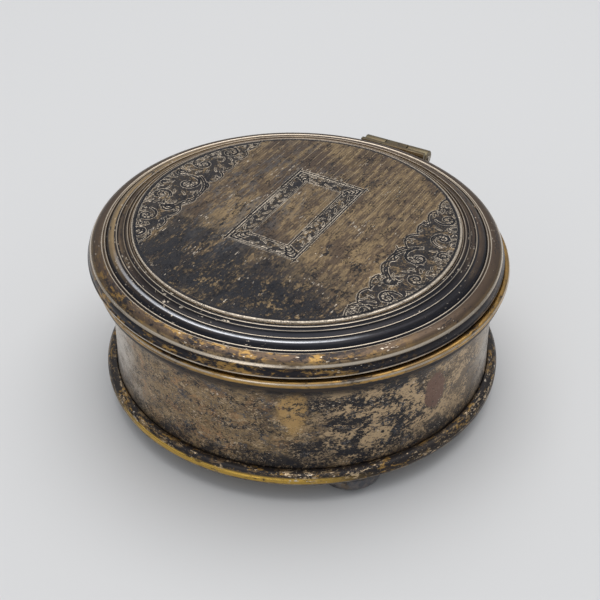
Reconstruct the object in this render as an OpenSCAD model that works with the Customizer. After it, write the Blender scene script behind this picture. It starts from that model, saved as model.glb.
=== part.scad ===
// Round hinged silver-plated pill box with a stepped, engraved lid and four bun feet.
// Millimetres. +Z is up, the hinge is at +Y, and the origin is on the box's round axis
// in the plane that the four feet stand on.

/* [Body] */
// Radius of the base moulding's outer edge
body_r = 40; // [32:0.5:60]
// How far the wall's waist stands in from the base moulding's edge
waist_in = 2.3; // [2:0.1:6]
// Height of the wall, from the base moulding to the mouth moulding
wall_h = 20.3; // [14:0.1:40]
// Thickness of the wall's sheet
wall_t = 0.9; // [0.6:0.05:1.4]
// Height of the cove that carries the wall out to the mouth moulding
cove_h = 5; // [3:0.1:8]
// How far the top of the cove stands in from the base moulding's edge
cove_inset = 0.4; // [0:0.1:0.6]
// Height of the slight flare at the foot of the wall
flare_h = 8; // [3:0.1:9]
// How far the foot of the wall flares out from the waist
flare_out = 0.25; // [0.1:0.05:0.6]

/* [Mouth moulding] */
// How far the mouth moulding stands out past the base moulding
mouth_out = 0.4; // [0:0.1:2]
// Height of the mouth moulding
mouth_h = 2.2; // [1.8:0.1:4]
// Radius of the bead on the mouth moulding
mouth_bead_r = 0.75; // [0.4:0.05:0.85]
// Depth of the rebate behind the bead
rebate_h = 0.6; // [0.4:0.05:0.9]

/* [Base moulding] */
// Height of the base moulding's plain edge
base_edge_h = 1.1; // [0.6:0.05:2]
// Height of the base moulding, up to the foot of the wall
base_h = 2; // [1.7:0.1:4]
// Width of the ledge that carries the bottom plate
ledge_w = 0.8; // [0.4:0.05:1]
// Height of the ledge that carries the bottom plate
ledge_h = 0.8; // [0.5:0.05:1]
// Thickness of the bottom plate
bottom_t = 1; // [0.6:0.05:1.2]

/* [Feet] */
// Height of the feet
foot_h = 4.6; // [3:0.1:10]
// Largest diameter of a foot
foot_d = 12.4; // [7:0.1:13]
// Distance from the base moulding's edge in to a foot's centre
foot_inset = 6.5; // [6.5:0.1:10]
// Diameter of the flat pad that a foot stands on
foot_pad_d = 6; // [3:0.1:7]
// Diameter of the spigot that joins a foot to the bottom plate
spigot_d = 4; // [2:0.1:5]

/* [Liner] */
// Thickness of the gilt liner
liner_t = 0.6; // [0.4:0.05:1]
// How far the liner rises above the mouth moulding, to centre the lid
liner_rise = 1.6; // [0.8:0.1:2.4]

/* [Lid] */
// Width of the lid's outer moulding, in to its joint with the stepped moulding
lid_rim_w = 3.1; // [2.6:0.1:4]
// Height of the lid's outer moulding
lid_rim_h = 3.45; // [3:0.05:6]
// Depth of the lid's outer moulding at its lip
lip_w = 2.1; // [1.6:0.1:2.2]
// Height of the plain edge above the lid's lip
lip_h = 0.65; // [0.4:0.05:1]
// Width of the lid's stepped moulding
step_w = 5.46; // [4:0.02:8]
// Rise of the lid's stepped moulding, from the outer moulding to the panel's edge
step_rise = 2.2; // [1.5:0.05:4]
// Thickness of the stepped moulding's metal
step_t = 0.9; // [0.6:0.05:1.4]
// Thickness of the lid's panel
panel_t = 0.9; // [0.6:0.05:1.4]
// How far the panel rises from its edge to its middle
panel_crown = 0.35; // [0:0.05:1.5]
// Width of the ledge that carries the panel
panel_ledge = 1.1; // [0.6:0.05:2]

/* [Hinge] */
// Length of the hinge
hinge_w = 15; // [9:0.1:24]
// Outer diameter of the hinge's knuckles
knuckle_d = 3.2; // [2.4:0.05:4]
// Diameter of the hinge pin
pin_d = 1.2; // [0.8:0.05:1.6]
// Length of the lid's middle knuckle
lid_knuckle_w = 5; // [3:0.1:8]
// Depth of the flat seats that the leaves are soldered to
seat_depth = 1.1; // [0.9:0.05:1.3]
// Thickness of the hinge's leaves
leaf_t = 0.9; // [0.6:0.05:1]
// How far the body's leaf reaches below the mouth moulding
leaf_drop = 1.5; // [0.5:0.1:4]
// How far the lid's leaf reaches up the lid's outer moulding
leaf_rise = 1.9; // [1:0.1:2.2]
// Height of the hinge's axis above the lip of the closed lid
axis_lift = 0.6; // [0.4:0.05:1]
// How far the hinge pin stands out at each end
pin_end = 0.35; // [0.1:0.05:1]

/* [Fits] */
// Space between the liner and the wall's waist
liner_gap = 0.1; // [0.05:0.01:0.3]
// Space round the bottom plate
plate_gap = 0.1; // [0.05:0.01:0.3]
// Smallest space between the lid's lip and the mouth moulding
seat_gap = 0.3; // [0.15:0.05:1]
// Space round the panel in the stepped moulding
panel_gap = 0.08; // [0.04:0.01:0.2]
// Radial space of the pin in the body's knuckles
pin_press = 0.01; // [0.01:0.005:0.03]
// Radial space of the pin in the lid's knuckle
pin_run = 0.05; // [0.03:0.01:0.1]
// Space between neighbouring knuckles
knuckle_gap = 0.2; // [0.1:0.05:0.4]
// Space between a leaf and whatever it swings past
swing_gap = 0.35; // [0.3:0.05:0.6]

/* [Wear] */
// Lean of the lid to its +X side on the worn hinge, in degrees
lid_lean = 1; // [0:0.1:1.2]
// How far the worn hinge lets the lid sit over to its -X side
lid_shift = 1.1; // [0:0.1:1.2]
// How far the worn hinge lets the lid sit forward
lid_forward = 0.3; // [0:0.1:0.4]

/* [Hidden] */
$fn = 96;
// Segments along each rounded stretch of a profile
arc_n = 10;
// Overshoot of a cut past the face that it opens
cut = 1;
// Small step that sets off one member of a moulding from the next
quirk = 0.15;
// Extra radius of the pin's way through the webs, past the knuckles' own bores
web_clear = 0.2;

// Levels of the body, from the plane that it stands on
z_base = foot_h;
z_plate = z_base + ledge_h;
z_floor = z_plate + bottom_t;
z_wall = z_base + base_h;
z_mouth = z_wall + wall_h;
z_rim_top = z_mouth + mouth_h;

// Radii of the body
waist_r = body_r - waist_in;
wall_foot_r = waist_r + flare_out;
cove_out = waist_in - cove_inset;
mouth_r = body_r + mouth_out;
liner_r = waist_r - wall_t - liner_gap;
plate_r = wall_foot_r - wall_t - plate_gap;
foot_ring_r = body_r - foot_inset;

// The lid follows the mouth moulding
lid_r = mouth_r;
lid_z = z_rim_top + seat_gap + lid_r * sin(lid_lean);
step_r = lid_r - lid_rim_w;
panel_r = step_r - step_w;
panel_z = lid_rim_h + step_rise;
panel_under = panel_z - panel_t;
// Depth of the soldered joint between the lid's two mouldings
lid_joint_h = step_t + 0.25;

// The hinge's axis runs along X behind the lid's rim, a little above the lid's lip
seat_y = lid_r - seat_depth;
axis_y = seat_y + leaf_t + swing_gap + knuckle_d / 2;
axis_z = lid_z + axis_lift;
body_knuckle_w = (hinge_w - lid_knuckle_w) / 2 - knuckle_gap;

// Points along an arc about a centre, from one angle to another
function arc(centre, r, from, to, n = arc_n) =
    [for (i = [0:n]) let (a = from + (to - from) * i / n) centre + r * [cos(a), sin(a)]];

// Radius of the arc that leaves the upright and moves out by out over the height h
function sweep_r(out, h) = (h * h + out * out) / (2 * out);

// The wall's outline from foot to mouth, set in from its outer face by inset
function wall_line(inset) = let (
        r_foot = sweep_r(flare_out, flare_h),
        r_cove = sweep_r(cove_out, cove_h),
        a_foot = asin(flare_h / r_foot),
        a_cove = asin(cove_h / r_cove)
    ) concat(
        arc([waist_r + r_foot - inset, z_wall + flare_h], r_foot, 180 + a_foot, 180),
        arc([waist_r + r_cove - inset, z_mouth - cove_h], r_cove, 180, 180 - a_cove)
    );

function reversed(points) = [for (i = [len(points) - 1:-1:0]) points[i]];

// A half-round reed of radius r on a sloping face, seen in section
function reed(centre, r, slope) = arc(centre, r, slope - 10, slope + 190, 6);

module lathe(points) {
    rotate_extrude() polygon(points);
}

// Moves a piece of the lid from its own level frame to where it rests on the worn hinge
module on_lid() {
    translate([-lid_shift, -lid_forward, lid_z]) rotate([0, lid_lean, 0]) children();
}

// The flat that is filed across the back of a rim to take a hinge leaf
module hinge_seat(z, h) {
    translate([-hinge_w / 2 - swing_gap, seat_y, z])
        cube([hinge_w + 2 * swing_gap, seat_depth + knuckle_d, h]);
}

// Spun wall: a slight flare at the foot, a straight waist and a cove under the mouth
module body_wall() {
    color("#8a7c6c") difference() {
        lathe(concat(wall_line(0), reversed(wall_line(wall_t))));
        hinge_seat(z_mouth - leaf_drop - swing_gap, leaf_drop + swing_gap + cut);
    }
}

// Moulding round the mouth: a plain fillet, a bead above it and a rebate behind the bead
module mouth_moulding() {
    bead_c = [mouth_r - mouth_bead_r, z_rim_top - mouth_bead_r];
    fillet_r = bead_c[0] + mouth_bead_r * cos(60);
    rebate_r = bead_c[0] - mouth_bead_r * cos(30);
    color("#9c7f52") difference() {
        lathe(concat(
            [[waist_r - wall_t, z_mouth], [fillet_r, z_mouth]],
            arc(bead_c, mouth_bead_r, -60, 150),
            [[rebate_r, z_rim_top - rebate_h], [waist_r - wall_t, z_rim_top - rebate_h]]
        ));
        hinge_seat(z_mouth - cut, mouth_h + 2 * cut);
    }
}

// Base moulding: a plain edge, a flattened bead and an inner ledge for the bottom plate
module base_moulding() {
    bead_from = wall_foot_r + 0.2;
    bead_w = body_r - 0.1 - bead_from;
    bead_h = base_h - base_edge_h + 0.2;
    quirk_r = wall_foot_r + 0.06;
    color("#94804f") lathe(concat(
        [[plate_r + plate_gap - ledge_w, z_base], [body_r, z_base],
         [body_r, z_base + base_edge_h]],
        [for (a = [0:90 / arc_n:90])
            [bead_from + bead_w * cos(a), z_base + base_edge_h + bead_h * sin(a)]],
        [[quirk_r, z_wall], [plate_r + plate_gap, z_wall],
         [plate_r + plate_gap, z_plate], [plate_r + plate_gap - ledge_w, z_plate]]
    ));
}

// Bottom plate, which lies on the base moulding's ledge
module bottom_plate() {
    color("#8f8878") translate([0, 0, z_plate]) cylinder(r = plate_r, h = bottom_t);
}

// Gilt liner, which stands on the bottom plate and rises above the mouth
module gilt_liner() {
    edge = liner_t / 3;
    color("#b89550") lathe([
        [liner_r - liner_t, z_floor], [liner_r, z_floor],
        [liner_r, z_rim_top + liner_rise - edge], [liner_r - edge, z_rim_top + liner_rise],
        [liner_r - liner_t + edge, z_rim_top + liner_rise],
        [liner_r - liner_t, z_rim_top + liner_rise - edge]
    ]);
}

// Cast bun foot with a spigot that is soldered to the bottom plate; turn is its place
module bun_foot(turn) {
    half = foot_h / 2;
    swell = half / sqrt(1 - pow(foot_pad_d / foot_d, 2));
    stop = acos(foot_pad_d / foot_d);
    color("#85868a") rotate(turn) translate([foot_ring_r, 0, 0]) {
        lathe(concat(
            [[0, 0]],
            [for (i = [-arc_n:arc_n]) let (a = stop * i / arc_n)
                [foot_d / 2 * cos(a), half + swell * sin(a)]],
            [[0, foot_h]]
        ));
        translate([0, 0, half]) cylinder(d = spigot_d, h = half + ledge_h);
    }
}

module foot_front_right() { bun_foot(-45); }
module foot_back_right() { bun_foot(45); }
module foot_back_left() { bun_foot(135); }
module foot_front_left() { bun_foot(-135); }

// A knuckle of the hinge, w long, with its lower corner at x
module knuckle(x, w, bore_r) {
    translate([x, axis_y, axis_z]) rotate([0, 90, 0]) difference() {
        cylinder(d = knuckle_d, h = w);
        translate([0, 0, -cut]) cylinder(r = bore_r, h = w + 2 * cut);
    }
}

// The pin's clear way through the webs
module pin_way(bore_r) {
    translate([-hinge_w, axis_y, axis_z]) rotate([0, 90, 0]) cylinder(r = bore_r, h = 2 * hinge_w);
}

// Body's leaf: a flat plate on the mouth moulding's seat, with an outer knuckle at each end
module body_hinge_leaf() {
    bore_r = pin_d / 2 + pin_press;
    web_y = seat_y + swing_gap;
    web_z = min(z_rim_top, axis_z - knuckle_d / 2) - leaf_t;
    color("#7d7048") {
        difference() {
            union() {
                translate([-hinge_w / 2, seat_y, z_mouth - leaf_drop])
                    cube([hinge_w, leaf_t, leaf_drop + mouth_h]);
                for (x = [-hinge_w / 2, hinge_w / 2 - body_knuckle_w])
                    translate([x, web_y, web_z])
                        cube([body_knuckle_w, axis_y - web_y, axis_z - web_z]);
            }
            pin_way(bore_r + web_clear);
        }
        for (x = [-hinge_w / 2, hinge_w / 2 - body_knuckle_w]) knuckle(x, body_knuckle_w, bore_r);
    }
}

// Hinge pin, with a chamfer at each end
module hinge_pin() {
    bevel = pin_d / 6;
    long = hinge_w + 2 * pin_end;
    color("#a79c82") translate([-long / 2, axis_y, axis_z]) rotate([0, 90, 0]) lathe([
        [0, 0], [pin_d / 2 - bevel, 0], [pin_d / 2, bevel],
        [pin_d / 2, long - bevel], [pin_d / 2 - bevel, long], [0, long]
    ]);
}

// Lid's outer moulding: a lip, a plain edge and a broad ovolo
module lid_rim() {
    ovolo = [lid_rim_w - 2 * quirk, lid_rim_h - lip_h - quirk];
    centre = [step_r + quirk, lip_h + quirk];
    joint_z = lid_rim_h - quirk - lid_joint_h;
    bevel = 0.25;
    splay = 0.8;
    color("#84705a") difference() {
        on_lid() lathe(concat(
            [[lid_r - lip_w, 0], [lid_r - bevel, 0], [lid_r, bevel], [lid_r, lip_h]],
            [for (a = [0:90 / arc_n:90])
                centre + [ovolo[0] * cos(a), ovolo[1] * sin(a)]],
            [[step_r, lid_rim_h - quirk], [step_r, joint_z], [lid_r - lip_w, joint_z - splay]]
        ));
        hinge_seat(z_rim_top - cut, lid_rim_h + 4 * cut);
    }
}

// Lid's stepped moulding: an outer reed, a convex band, a second reed, a cove and two
// fine reeds against the panel, with an inner ledge that carries the panel
module lid_stepped_moulding() {
    slope = atan2(step_rise, step_w);
    // each reed's place (share of the width, height off the slope) and its radius
    outer_reed = [0.07, 0.02, 0.19];
    second_reed = [0.485, 0.03, 0.18];
    fine_reed = [0.74, 0, 0.13];
    inner_reed = [0.88, -0.04, 0.17];
    // the convex band's start and width as shares, its height off the slope and its rise
    band = [0.13, 0.3, 0.02, 0.3];
    top_z = lid_rim_h - quirk;
    // the step up to the panel, and the metal left under the ledge
    panel_lip = 0.55;
    ledge_t = step_t * 0.7;
    // a place on the slope, going in by u of the width and standing up by v
    function at(u, v) = [step_r - u * step_w, top_z + u * (step_rise - quirk + 0.05) + v];
    function reed_at(r) = reed(at(r[0], r[1]), r[2], slope);
    color("#6f6658") on_lid() lathe(concat(
        [[step_r, top_z - lid_joint_h], at(0, 0), at(0.01, 0.05)],
        reed_at(outer_reed),
        [for (i = [0:1 / arc_n:1]) at(band[0] + band[1] * i, band[2] + band[3] * sin(180 * i))],
        reed_at(second_reed),
        [at(0.545, -0.1), at(0.62, -0.17), at(0.69, -0.1)],
        reed_at(fine_reed),
        [at(0.8, -0.08)],
        reed_at(inner_reed),
        [at(0.955, -0.12), [panel_r + panel_gap, panel_z - panel_lip],
         [panel_r + panel_gap, panel_under], [panel_r - panel_ledge, panel_under],
         [panel_r - panel_ledge, panel_under - ledge_t],
         [panel_r + panel_ledge / 2, panel_under - ledge_t]]
    ));
}

// Lid's panel: a thin disc, slightly crowned, with a rounded edge
module lid_panel() {
    edge = 0.25;
    rings = 14;
    color("#7a6a4c") on_lid() lathe(concat(
        [[0, panel_under], [panel_r, panel_under], [panel_r, panel_z - edge]],
        arc([panel_r - edge, panel_z - edge], edge, 0, 90, 5),
        [for (i = [rings - 1:-1:0]) let (r = (panel_r - edge) * i / rings)
            [r, panel_z + panel_crown * (1 - pow(r / (panel_r - edge), 2))]]
    ));
}

// Lid's leaf: a flat plate on the rim's seat, joined to the middle knuckle by a web
module lid_hinge_leaf() {
    bore_r = pin_d / 2 + pin_run;
    lift = 0.3;
    color("#7d7048") {
        difference() {
            union() {
                translate([-hinge_w / 2, seat_y, axis_z + lift])
                    cube([hinge_w, leaf_t, leaf_rise]);
                translate([-lid_knuckle_w / 2, seat_y + leaf_t / 2, axis_z])
                    cube([lid_knuckle_w, axis_y - seat_y - leaf_t / 2, knuckle_d / 2]);
            }
            pin_way(bore_r + web_clear);
        }
        knuckle(-lid_knuckle_w / 2, lid_knuckle_w, bore_r);
    }
}

body_wall();
mouth_moulding();
base_moulding();
bottom_plate();
gilt_liner();
foot_front_right();
foot_back_right();
foot_back_left();
foot_front_left();
body_hinge_leaf();
hinge_pin();
lid_rim();
lid_stepped_moulding();
lid_panel();
lid_hinge_leaf();
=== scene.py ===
import math
import random
from types import SimpleNamespace

import bmesh
import bpy
import numpy as np
from mathutils import Matrix, Vector


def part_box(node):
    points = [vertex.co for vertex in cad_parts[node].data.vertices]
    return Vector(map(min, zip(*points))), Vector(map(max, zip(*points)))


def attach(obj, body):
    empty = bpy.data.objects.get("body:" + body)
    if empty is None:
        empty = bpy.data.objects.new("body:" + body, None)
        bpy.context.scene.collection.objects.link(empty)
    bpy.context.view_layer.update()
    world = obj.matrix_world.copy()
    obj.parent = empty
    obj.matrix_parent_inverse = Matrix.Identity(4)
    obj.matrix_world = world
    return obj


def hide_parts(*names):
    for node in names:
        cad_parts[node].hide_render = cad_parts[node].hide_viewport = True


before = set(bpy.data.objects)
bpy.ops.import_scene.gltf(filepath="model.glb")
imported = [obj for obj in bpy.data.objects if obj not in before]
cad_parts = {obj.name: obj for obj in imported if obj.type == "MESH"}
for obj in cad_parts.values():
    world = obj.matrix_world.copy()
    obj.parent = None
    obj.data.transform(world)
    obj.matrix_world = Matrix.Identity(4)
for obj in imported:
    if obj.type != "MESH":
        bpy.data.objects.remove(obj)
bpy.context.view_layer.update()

bl_info = {
    "name": "Hinged Pill Box",
    "version": (1, 0, 0),
    "blender": (4, 5, 0),
    "location": "3D View > Sidebar > Pill Box",
    "description": "Builds a round, tarnished, silver-plated pill box with an engraved lid",
    "category": "Object",
}

MM = 0.001
BOX = "box"
LID = "lid"
EVEN = (1, 1, 1)  # a pattern that isn't stretched
WELD = 1e-6  # points nearer than this are one point, in metres
FAR = 0.7  # how far the engraving's distances are measured, in millimetres
EASED_EDGE = 0.12  # bevel on the hinge leaves, in millimetres
GRAIN = 2600.0  # scale of the plate's finest bumps
SHEEN = 420.0  # scale of the changes in its gloss
FLOOR_HALF = 1.5  # half of the floor's side, in metres
SENSOR = 36.0  # width of the camera's sensor, in millimetres


# ---------------------------------------------------------------- sizes and finishes

def length(name, description, default_mm):
    """A length property whose default is given in millimetres."""
    return bpy.props.FloatProperty(
        name=name, description=description, default=default_mm * MM, min=0.0,
        unit="LENGTH", subtype="DISTANCE", precision=5)


def tint(name, description, default):
    """A colour property."""
    return bpy.props.FloatVectorProperty(
        name=name, description=description, default=default, min=0.0, max=1.0,
        subtype="COLOR", size=3)


def share(name, description, default, most=1.0):
    """A plain number from nought up."""
    return bpy.props.FloatProperty(
        name=name, description=description, default=default, min=0.0, max=most)


class PillBoxShape(bpy.types.PropertyGroup):
    """Sizes of the box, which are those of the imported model"""
    body_r: length("Body radius", "Outer edge of the base moulding", 40)
    waist_in: length("Waist", "How far the wall stands in from the base moulding", 2.3)
    wall_h: length("Wall height", "From the base moulding to the mouth moulding", 20.3)
    wall_t: length("Wall thickness", "Thickness of the wall's sheet", 0.9)
    cove_h: length("Cove height", "Height of the cove under the mouth", 5)
    cove_inset: length("Cove inset", "Top of the cove in from the base moulding's edge", 0.4)
    flare_h: length("Foot flare height", "Height of the flare at the wall's foot", 8)
    flare_out: length("Foot flare", "How far the wall's foot flares out", 0.25)
    mouth_out: length("Mouth overhang", "Mouth moulding past the base moulding", 0.4)
    mouth_h: length("Mouth height", "Height of the mouth moulding", 2.2)
    mouth_bead_r: length("Mouth bead", "Radius of the bead at the mouth", 0.75)
    rebate_h: length("Rebate", "Depth of the rebate behind the bead", 0.6)
    base_edge_h: length("Base edge", "Height of the base moulding's plain edge", 1.1)
    base_h: length("Base height", "Height of the base moulding", 2)
    ledge_w: length("Ledge width", "Ledge that carries the bottom plate", 0.8)
    ledge_h: length("Ledge height", "Ledge that carries the bottom plate", 0.8)
    bottom_t: length("Bottom thickness", "Thickness of the bottom plate", 1)
    foot_h: length("Foot height", "Height of the feet", 4.6)
    foot_d: length("Foot diameter", "Largest diameter of a foot", 12.4)
    foot_inset: length("Foot inset", "From the base edge in to a foot's centre", 6.5)
    foot_pad_d: length("Foot pad", "Diameter of the pad under a foot", 6)
    liner_t: length("Liner thickness", "Thickness of the gilt liner", 0.6)
    liner_rise: length("Liner rise", "Liner above the mouth moulding", 1.6)
    liner_gap: length("Liner gap", "Space between the liner and the wall", 0.1)
    plate_gap: length("Plate gap", "Space round the bottom plate", 0.1)
    lid_rim_w: length("Rim width", "Width of the lid's outer moulding", 3.1)
    lid_rim_h: length("Rim height", "Height of the lid's outer moulding", 3.45)
    lip_w: length("Lip depth", "Depth of the lid's outer moulding at its lip", 2.1)
    lip_h: length("Lip height", "Plain edge above the lid's lip", 0.65)
    step_w: length("Step width", "Width of the stepped moulding", 5.46)
    step_rise: length("Step rise", "Rise of the stepped moulding", 2.2)
    step_t: length("Step thickness", "Thickness of the stepped moulding", 0.9)
    panel_t: length("Panel thickness", "Thickness of the lid's panel", 0.9)
    panel_crown: length("Panel crown", "Rise of the panel to its middle", 0.35)
    panel_ledge: length("Panel ledge", "Ledge that carries the panel", 1.1)
    panel_gap: length("Panel gap", "Space round the panel", 0.08)
    seat_gap: length("Seat gap", "Least space between lid and mouth", 0.3)
    hinge_w: length("Hinge length", "Length of the hinge", 15)
    seat_depth: length("Seat depth", "Depth of the flats behind the hinge leaves", 1.1)
    swing_gap: length("Swing gap", "Space beside a hinge leaf", 0.35)
    pin_d: length("Pin diameter", "Diameter of the hinge pin", 1.2)
    pin_end: length("Pin end", "How far the pin stands out", 0.35)
    lid_shift: length("Lid shift", "Lid set over to -X on the worn hinge", 1.1)
    lid_forward: length("Lid forward", "Lid set forward on the worn hinge", 0.3)
    lid_lean: bpy.props.FloatProperty(
        name="Lid lean", description="Lean of the lid to +X on the worn hinge",
        default=math.radians(1), subtype="ANGLE")
    wobble: length("Unevenness", "Handmade unevenness of the metal", 0.05)
    ring_step: length("Ring step", "Mesh step round a moulding", 0.5)
    profile_step: length("Profile step", "Mesh step across a moulding", 0.16)
    grid_rings: bpy.props.IntProperty(
        name="Panel grid", description="Squares from side to side of the engraved panel",
        default=300, min=40, max=310)


class PillBoxEngraving(bpy.types.PropertyGroup):
    """Sizes of the engraved work on the lid"""
    frame_x: length("Frame width", "Outside of the engraved frame along X", 15.0)
    frame_y: length("Frame length", "Outside of the engraved frame along Y", 28.4)
    frame_band: length("Frame band", "Width of the engraved frame's band", 3.4)
    frame_off_x: length("Frame set over", "Frame's centre, towards -X", 1.1)
    frame_off_y: length("Frame set back", "Frame's centre, towards the hinge", 2.1)
    chord_x: length("Segment chord", "Where the side segments start along X", 21.6)
    line_w: length("Line width", "Width of an engraved line", 0.24)
    line_depth: length("Line depth", "Depth of an engraved line", 0.11)
    ground_depth: length("Ground depth", "Depth of the cut-back ground", 0.1)
    stripe_pitch: length("Stripe pitch", "Pitch of the engine-turned lines", 1.65)
    seed: bpy.props.IntProperty(
        name="Seed", description="Seed of the scrollwork's small variations", default=7)


class PillBoxFinish(bpy.types.PropertyGroup):
    """Colours of the worn plate and its tarnish"""
    silver: tint("Worn silver", "Bare silver where the tarnish is rubbed off", (0.72, 0.62, 0.50))
    cream: tint("Cream edge", "Worn edges and specks with a warm cast", (0.64, 0.49, 0.32))
    gold: tint("Gold tarnish", "Thin yellow-brown tarnish", (0.46, 0.275, 0.085))
    tan: tint("Tan tarnish", "Light, dull brown tarnish", (0.38, 0.27, 0.148))
    brown: tint("Brown tarnish", "Middling brown tarnish", (0.17, 0.115, 0.062))
    plum: tint("Plum tarnish", "Purple-brown tarnish", (0.10, 0.068, 0.05))
    slate: tint("Slate tarnish", "Blue-grey tarnish", (0.095, 0.10, 0.112))
    black: tint("Black tarnish", "Thick blue-black tarnish", (0.011, 0.012, 0.018))
    rust: tint("Red patch", "Bare patch on the wall", (0.20, 0.115, 0.085))
    pearl: tint("Pearl plate", "Dull grey plate with little tarnish", (0.60, 0.54, 0.47))
    gilt: tint("Gilt", "Gilt wash of the liner", (0.72, 0.50, 0.20))


class PillBoxStage(bpy.types.PropertyGroup):
    """Floor, camera and lights"""
    floor: tint("Floor", "Colour of the pale floor", (0.70, 0.705, 0.715))
    key: share("Key light", "Power of the large softbox overhead, in watts", 4.3, 100.0)
    fill: share("Fill light", "Power of the light in front, in watts", 0.25, 100.0)
    sky: share("Sky", "Strength of the even light from above", 0.56, 10.0)
    horizon: share("Horizon", "Strength of the light from low down, as a share of the sky", 0.42)
    eye: bpy.props.FloatVectorProperty(
        name="Camera", description="Where the camera stands", size=3, subtype="TRANSLATION",
        unit="LENGTH", default=(0.0960, -0.1692, 0.1618))
    lens: bpy.props.FloatProperty(
        name="Lens", description="Focal length on a 36 mm sensor, in millimetres", default=72.0)
    azimuth: bpy.props.FloatProperty(
        name="Azimuth", description="Turn of the camera round the box",
        default=math.radians(29.7), subtype="ANGLE")
    elevation: bpy.props.FloatProperty(
        name="Elevation", description="Downward look of the camera",
        default=math.radians(36.71), subtype="ANGLE")


def millimetres(group):
    """A property group's values as plain numbers, with the lengths in millimetres."""
    values = {}
    for key, prop in group.bl_rna.properties.items():
        if key in ("rna_type", "name"):
            continue
        value = getattr(group, key)
        values[key] = value / MM if getattr(prop, "unit", "NONE") == "LENGTH" else value
    return SimpleNamespace(**values)


def shape():
    """The box's sizes with what follows from them, in millimetres."""
    s = millimetres(bpy.context.scene.pill_box_shape)
    s.z_base = s.foot_h
    s.z_plate = s.z_base + s.ledge_h
    s.z_floor = s.z_plate + s.bottom_t
    s.z_wall = s.z_base + s.base_h
    s.z_mouth = s.z_wall + s.wall_h
    s.z_rim_top = s.z_mouth + s.mouth_h
    s.waist_r = s.body_r - s.waist_in
    s.wall_foot_r = s.waist_r + s.flare_out
    s.cove_out = s.waist_in - s.cove_inset
    s.mouth_r = s.body_r + s.mouth_out
    s.liner_r = s.waist_r - s.wall_t - s.liner_gap
    s.plate_r = s.wall_foot_r - s.wall_t - s.plate_gap
    s.foot_ring_r = s.body_r - s.foot_inset
    s.lid_r = s.mouth_r
    s.lid_z = s.z_rim_top + s.seat_gap + s.lid_r * math.sin(s.lid_lean)
    s.step_r = s.lid_r - s.lid_rim_w
    s.panel_r = s.step_r - s.step_w
    s.panel_z = s.lid_rim_h + s.step_rise
    s.panel_under = s.panel_z - s.panel_t
    s.seat_y = s.lid_r - s.seat_depth
    s.quirk = 0.15
    s.joint_h = s.step_t + 0.25
    return s


def lid_place(s):
    """Where the lid rests on its worn hinge, in metres."""
    move = Matrix.Translation(Vector((-s.lid_shift, -s.lid_forward, s.lid_z)) * MM)
    return move @ Matrix.Rotation(s.lid_lean, 4, "Y")


# ---------------------------------------------------------------- outlines

def arc(centre, radius, start, end, n=10):
    """Points along an arc, from one angle to another in degrees."""
    return [(centre[0] + radius * math.cos(math.radians(start + (end - start) * i / n)),
             centre[1] + radius * math.sin(math.radians(start + (end - start) * i / n)))
            for i in range(n + 1)]


def sweep_r(out, h):
    """Radius of the arc that leaves the upright and moves out by out over the height h."""
    return (h * h + out * out) / (2 * out)


def wall_line(s, inset):
    """The wall's outline from foot to mouth, set in from its outer face."""
    r_foot = sweep_r(s.flare_out, s.flare_h)
    r_cove = sweep_r(s.cove_out, s.cove_h)
    a_foot = math.degrees(math.asin(s.flare_h / r_foot))
    a_cove = math.degrees(math.asin(s.cove_h / r_cove))
    foot = arc((s.waist_r + r_foot - inset, s.z_wall + s.flare_h), r_foot, 180 + a_foot, 180)
    cove = arc((s.waist_r + r_cove - inset, s.z_mouth - s.cove_h), r_cove, 180, 180 - a_cove)
    return foot + cove


def wall_outline(s):
    """Section of the wall: its outer face, then its inner face."""
    return wall_line(s, 0) + wall_line(s, s.wall_t)[::-1]


def mouth_outline(s):
    """Section of the mouth moulding: a bead with a rebate behind it."""
    centre = (s.mouth_r - s.mouth_bead_r, s.z_rim_top - s.mouth_bead_r)
    fillet_r = centre[0] + s.mouth_bead_r * math.cos(math.radians(60))
    rebate_r = centre[0] - s.mouth_bead_r * math.cos(math.radians(30))
    inner = s.waist_r - s.wall_t
    return ([(inner, s.z_mouth), (fillet_r, s.z_mouth)]
            + arc(centre, s.mouth_bead_r, -60, 150, 14)
            + [(rebate_r, s.z_rim_top - s.rebate_h), (inner, s.z_rim_top - s.rebate_h)])


def base_outline(s):
    """Section of the base moulding: a plain edge, a bead and the ledge inside."""
    bead_from = s.wall_foot_r + 0.2
    bead_w = s.body_r - 0.1 - bead_from
    bead_h = s.base_h - s.base_edge_h + 0.2
    edge_z = s.z_base + s.base_edge_h
    bead = [(bead_from + bead_w * math.cos(math.radians(9 * i)),
             edge_z + bead_h * math.sin(math.radians(9 * i))) for i in range(11)]
    wall_r = s.plate_r + s.plate_gap
    return ([(wall_r - s.ledge_w, s.z_base), (s.body_r, s.z_base), (s.body_r, edge_z)] + bead
            + [(s.wall_foot_r + 0.06, s.z_wall), (wall_r, s.z_wall), (wall_r, s.z_plate),
               (wall_r - s.ledge_w, s.z_plate)])


def liner_outline(s):
    """Section of the gilt liner, with its top edges eased."""
    edge = s.liner_t / 3
    top = s.z_rim_top + s.liner_rise
    inner = s.liner_r - s.liner_t
    return [(inner, s.z_floor), (s.liner_r, s.z_floor), (s.liner_r, top - edge),
            (s.liner_r - edge, top), (inner + edge, top), (inner, top - edge)]


def foot_outline(s):
    """Half section of a bun foot, from the middle of its pad to the middle of its top."""
    half = s.foot_h / 2
    ratio = s.foot_pad_d / s.foot_d
    swell = half / math.sqrt(1 - ratio ** 2)
    stop = math.acos(ratio)
    side = [(s.foot_d / 2 * math.cos(stop * i / 12), half + swell * math.sin(stop * i / 12))
            for i in range(-12, 13)]
    return [(0, 0)] + side + [(0, s.foot_h)]


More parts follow.
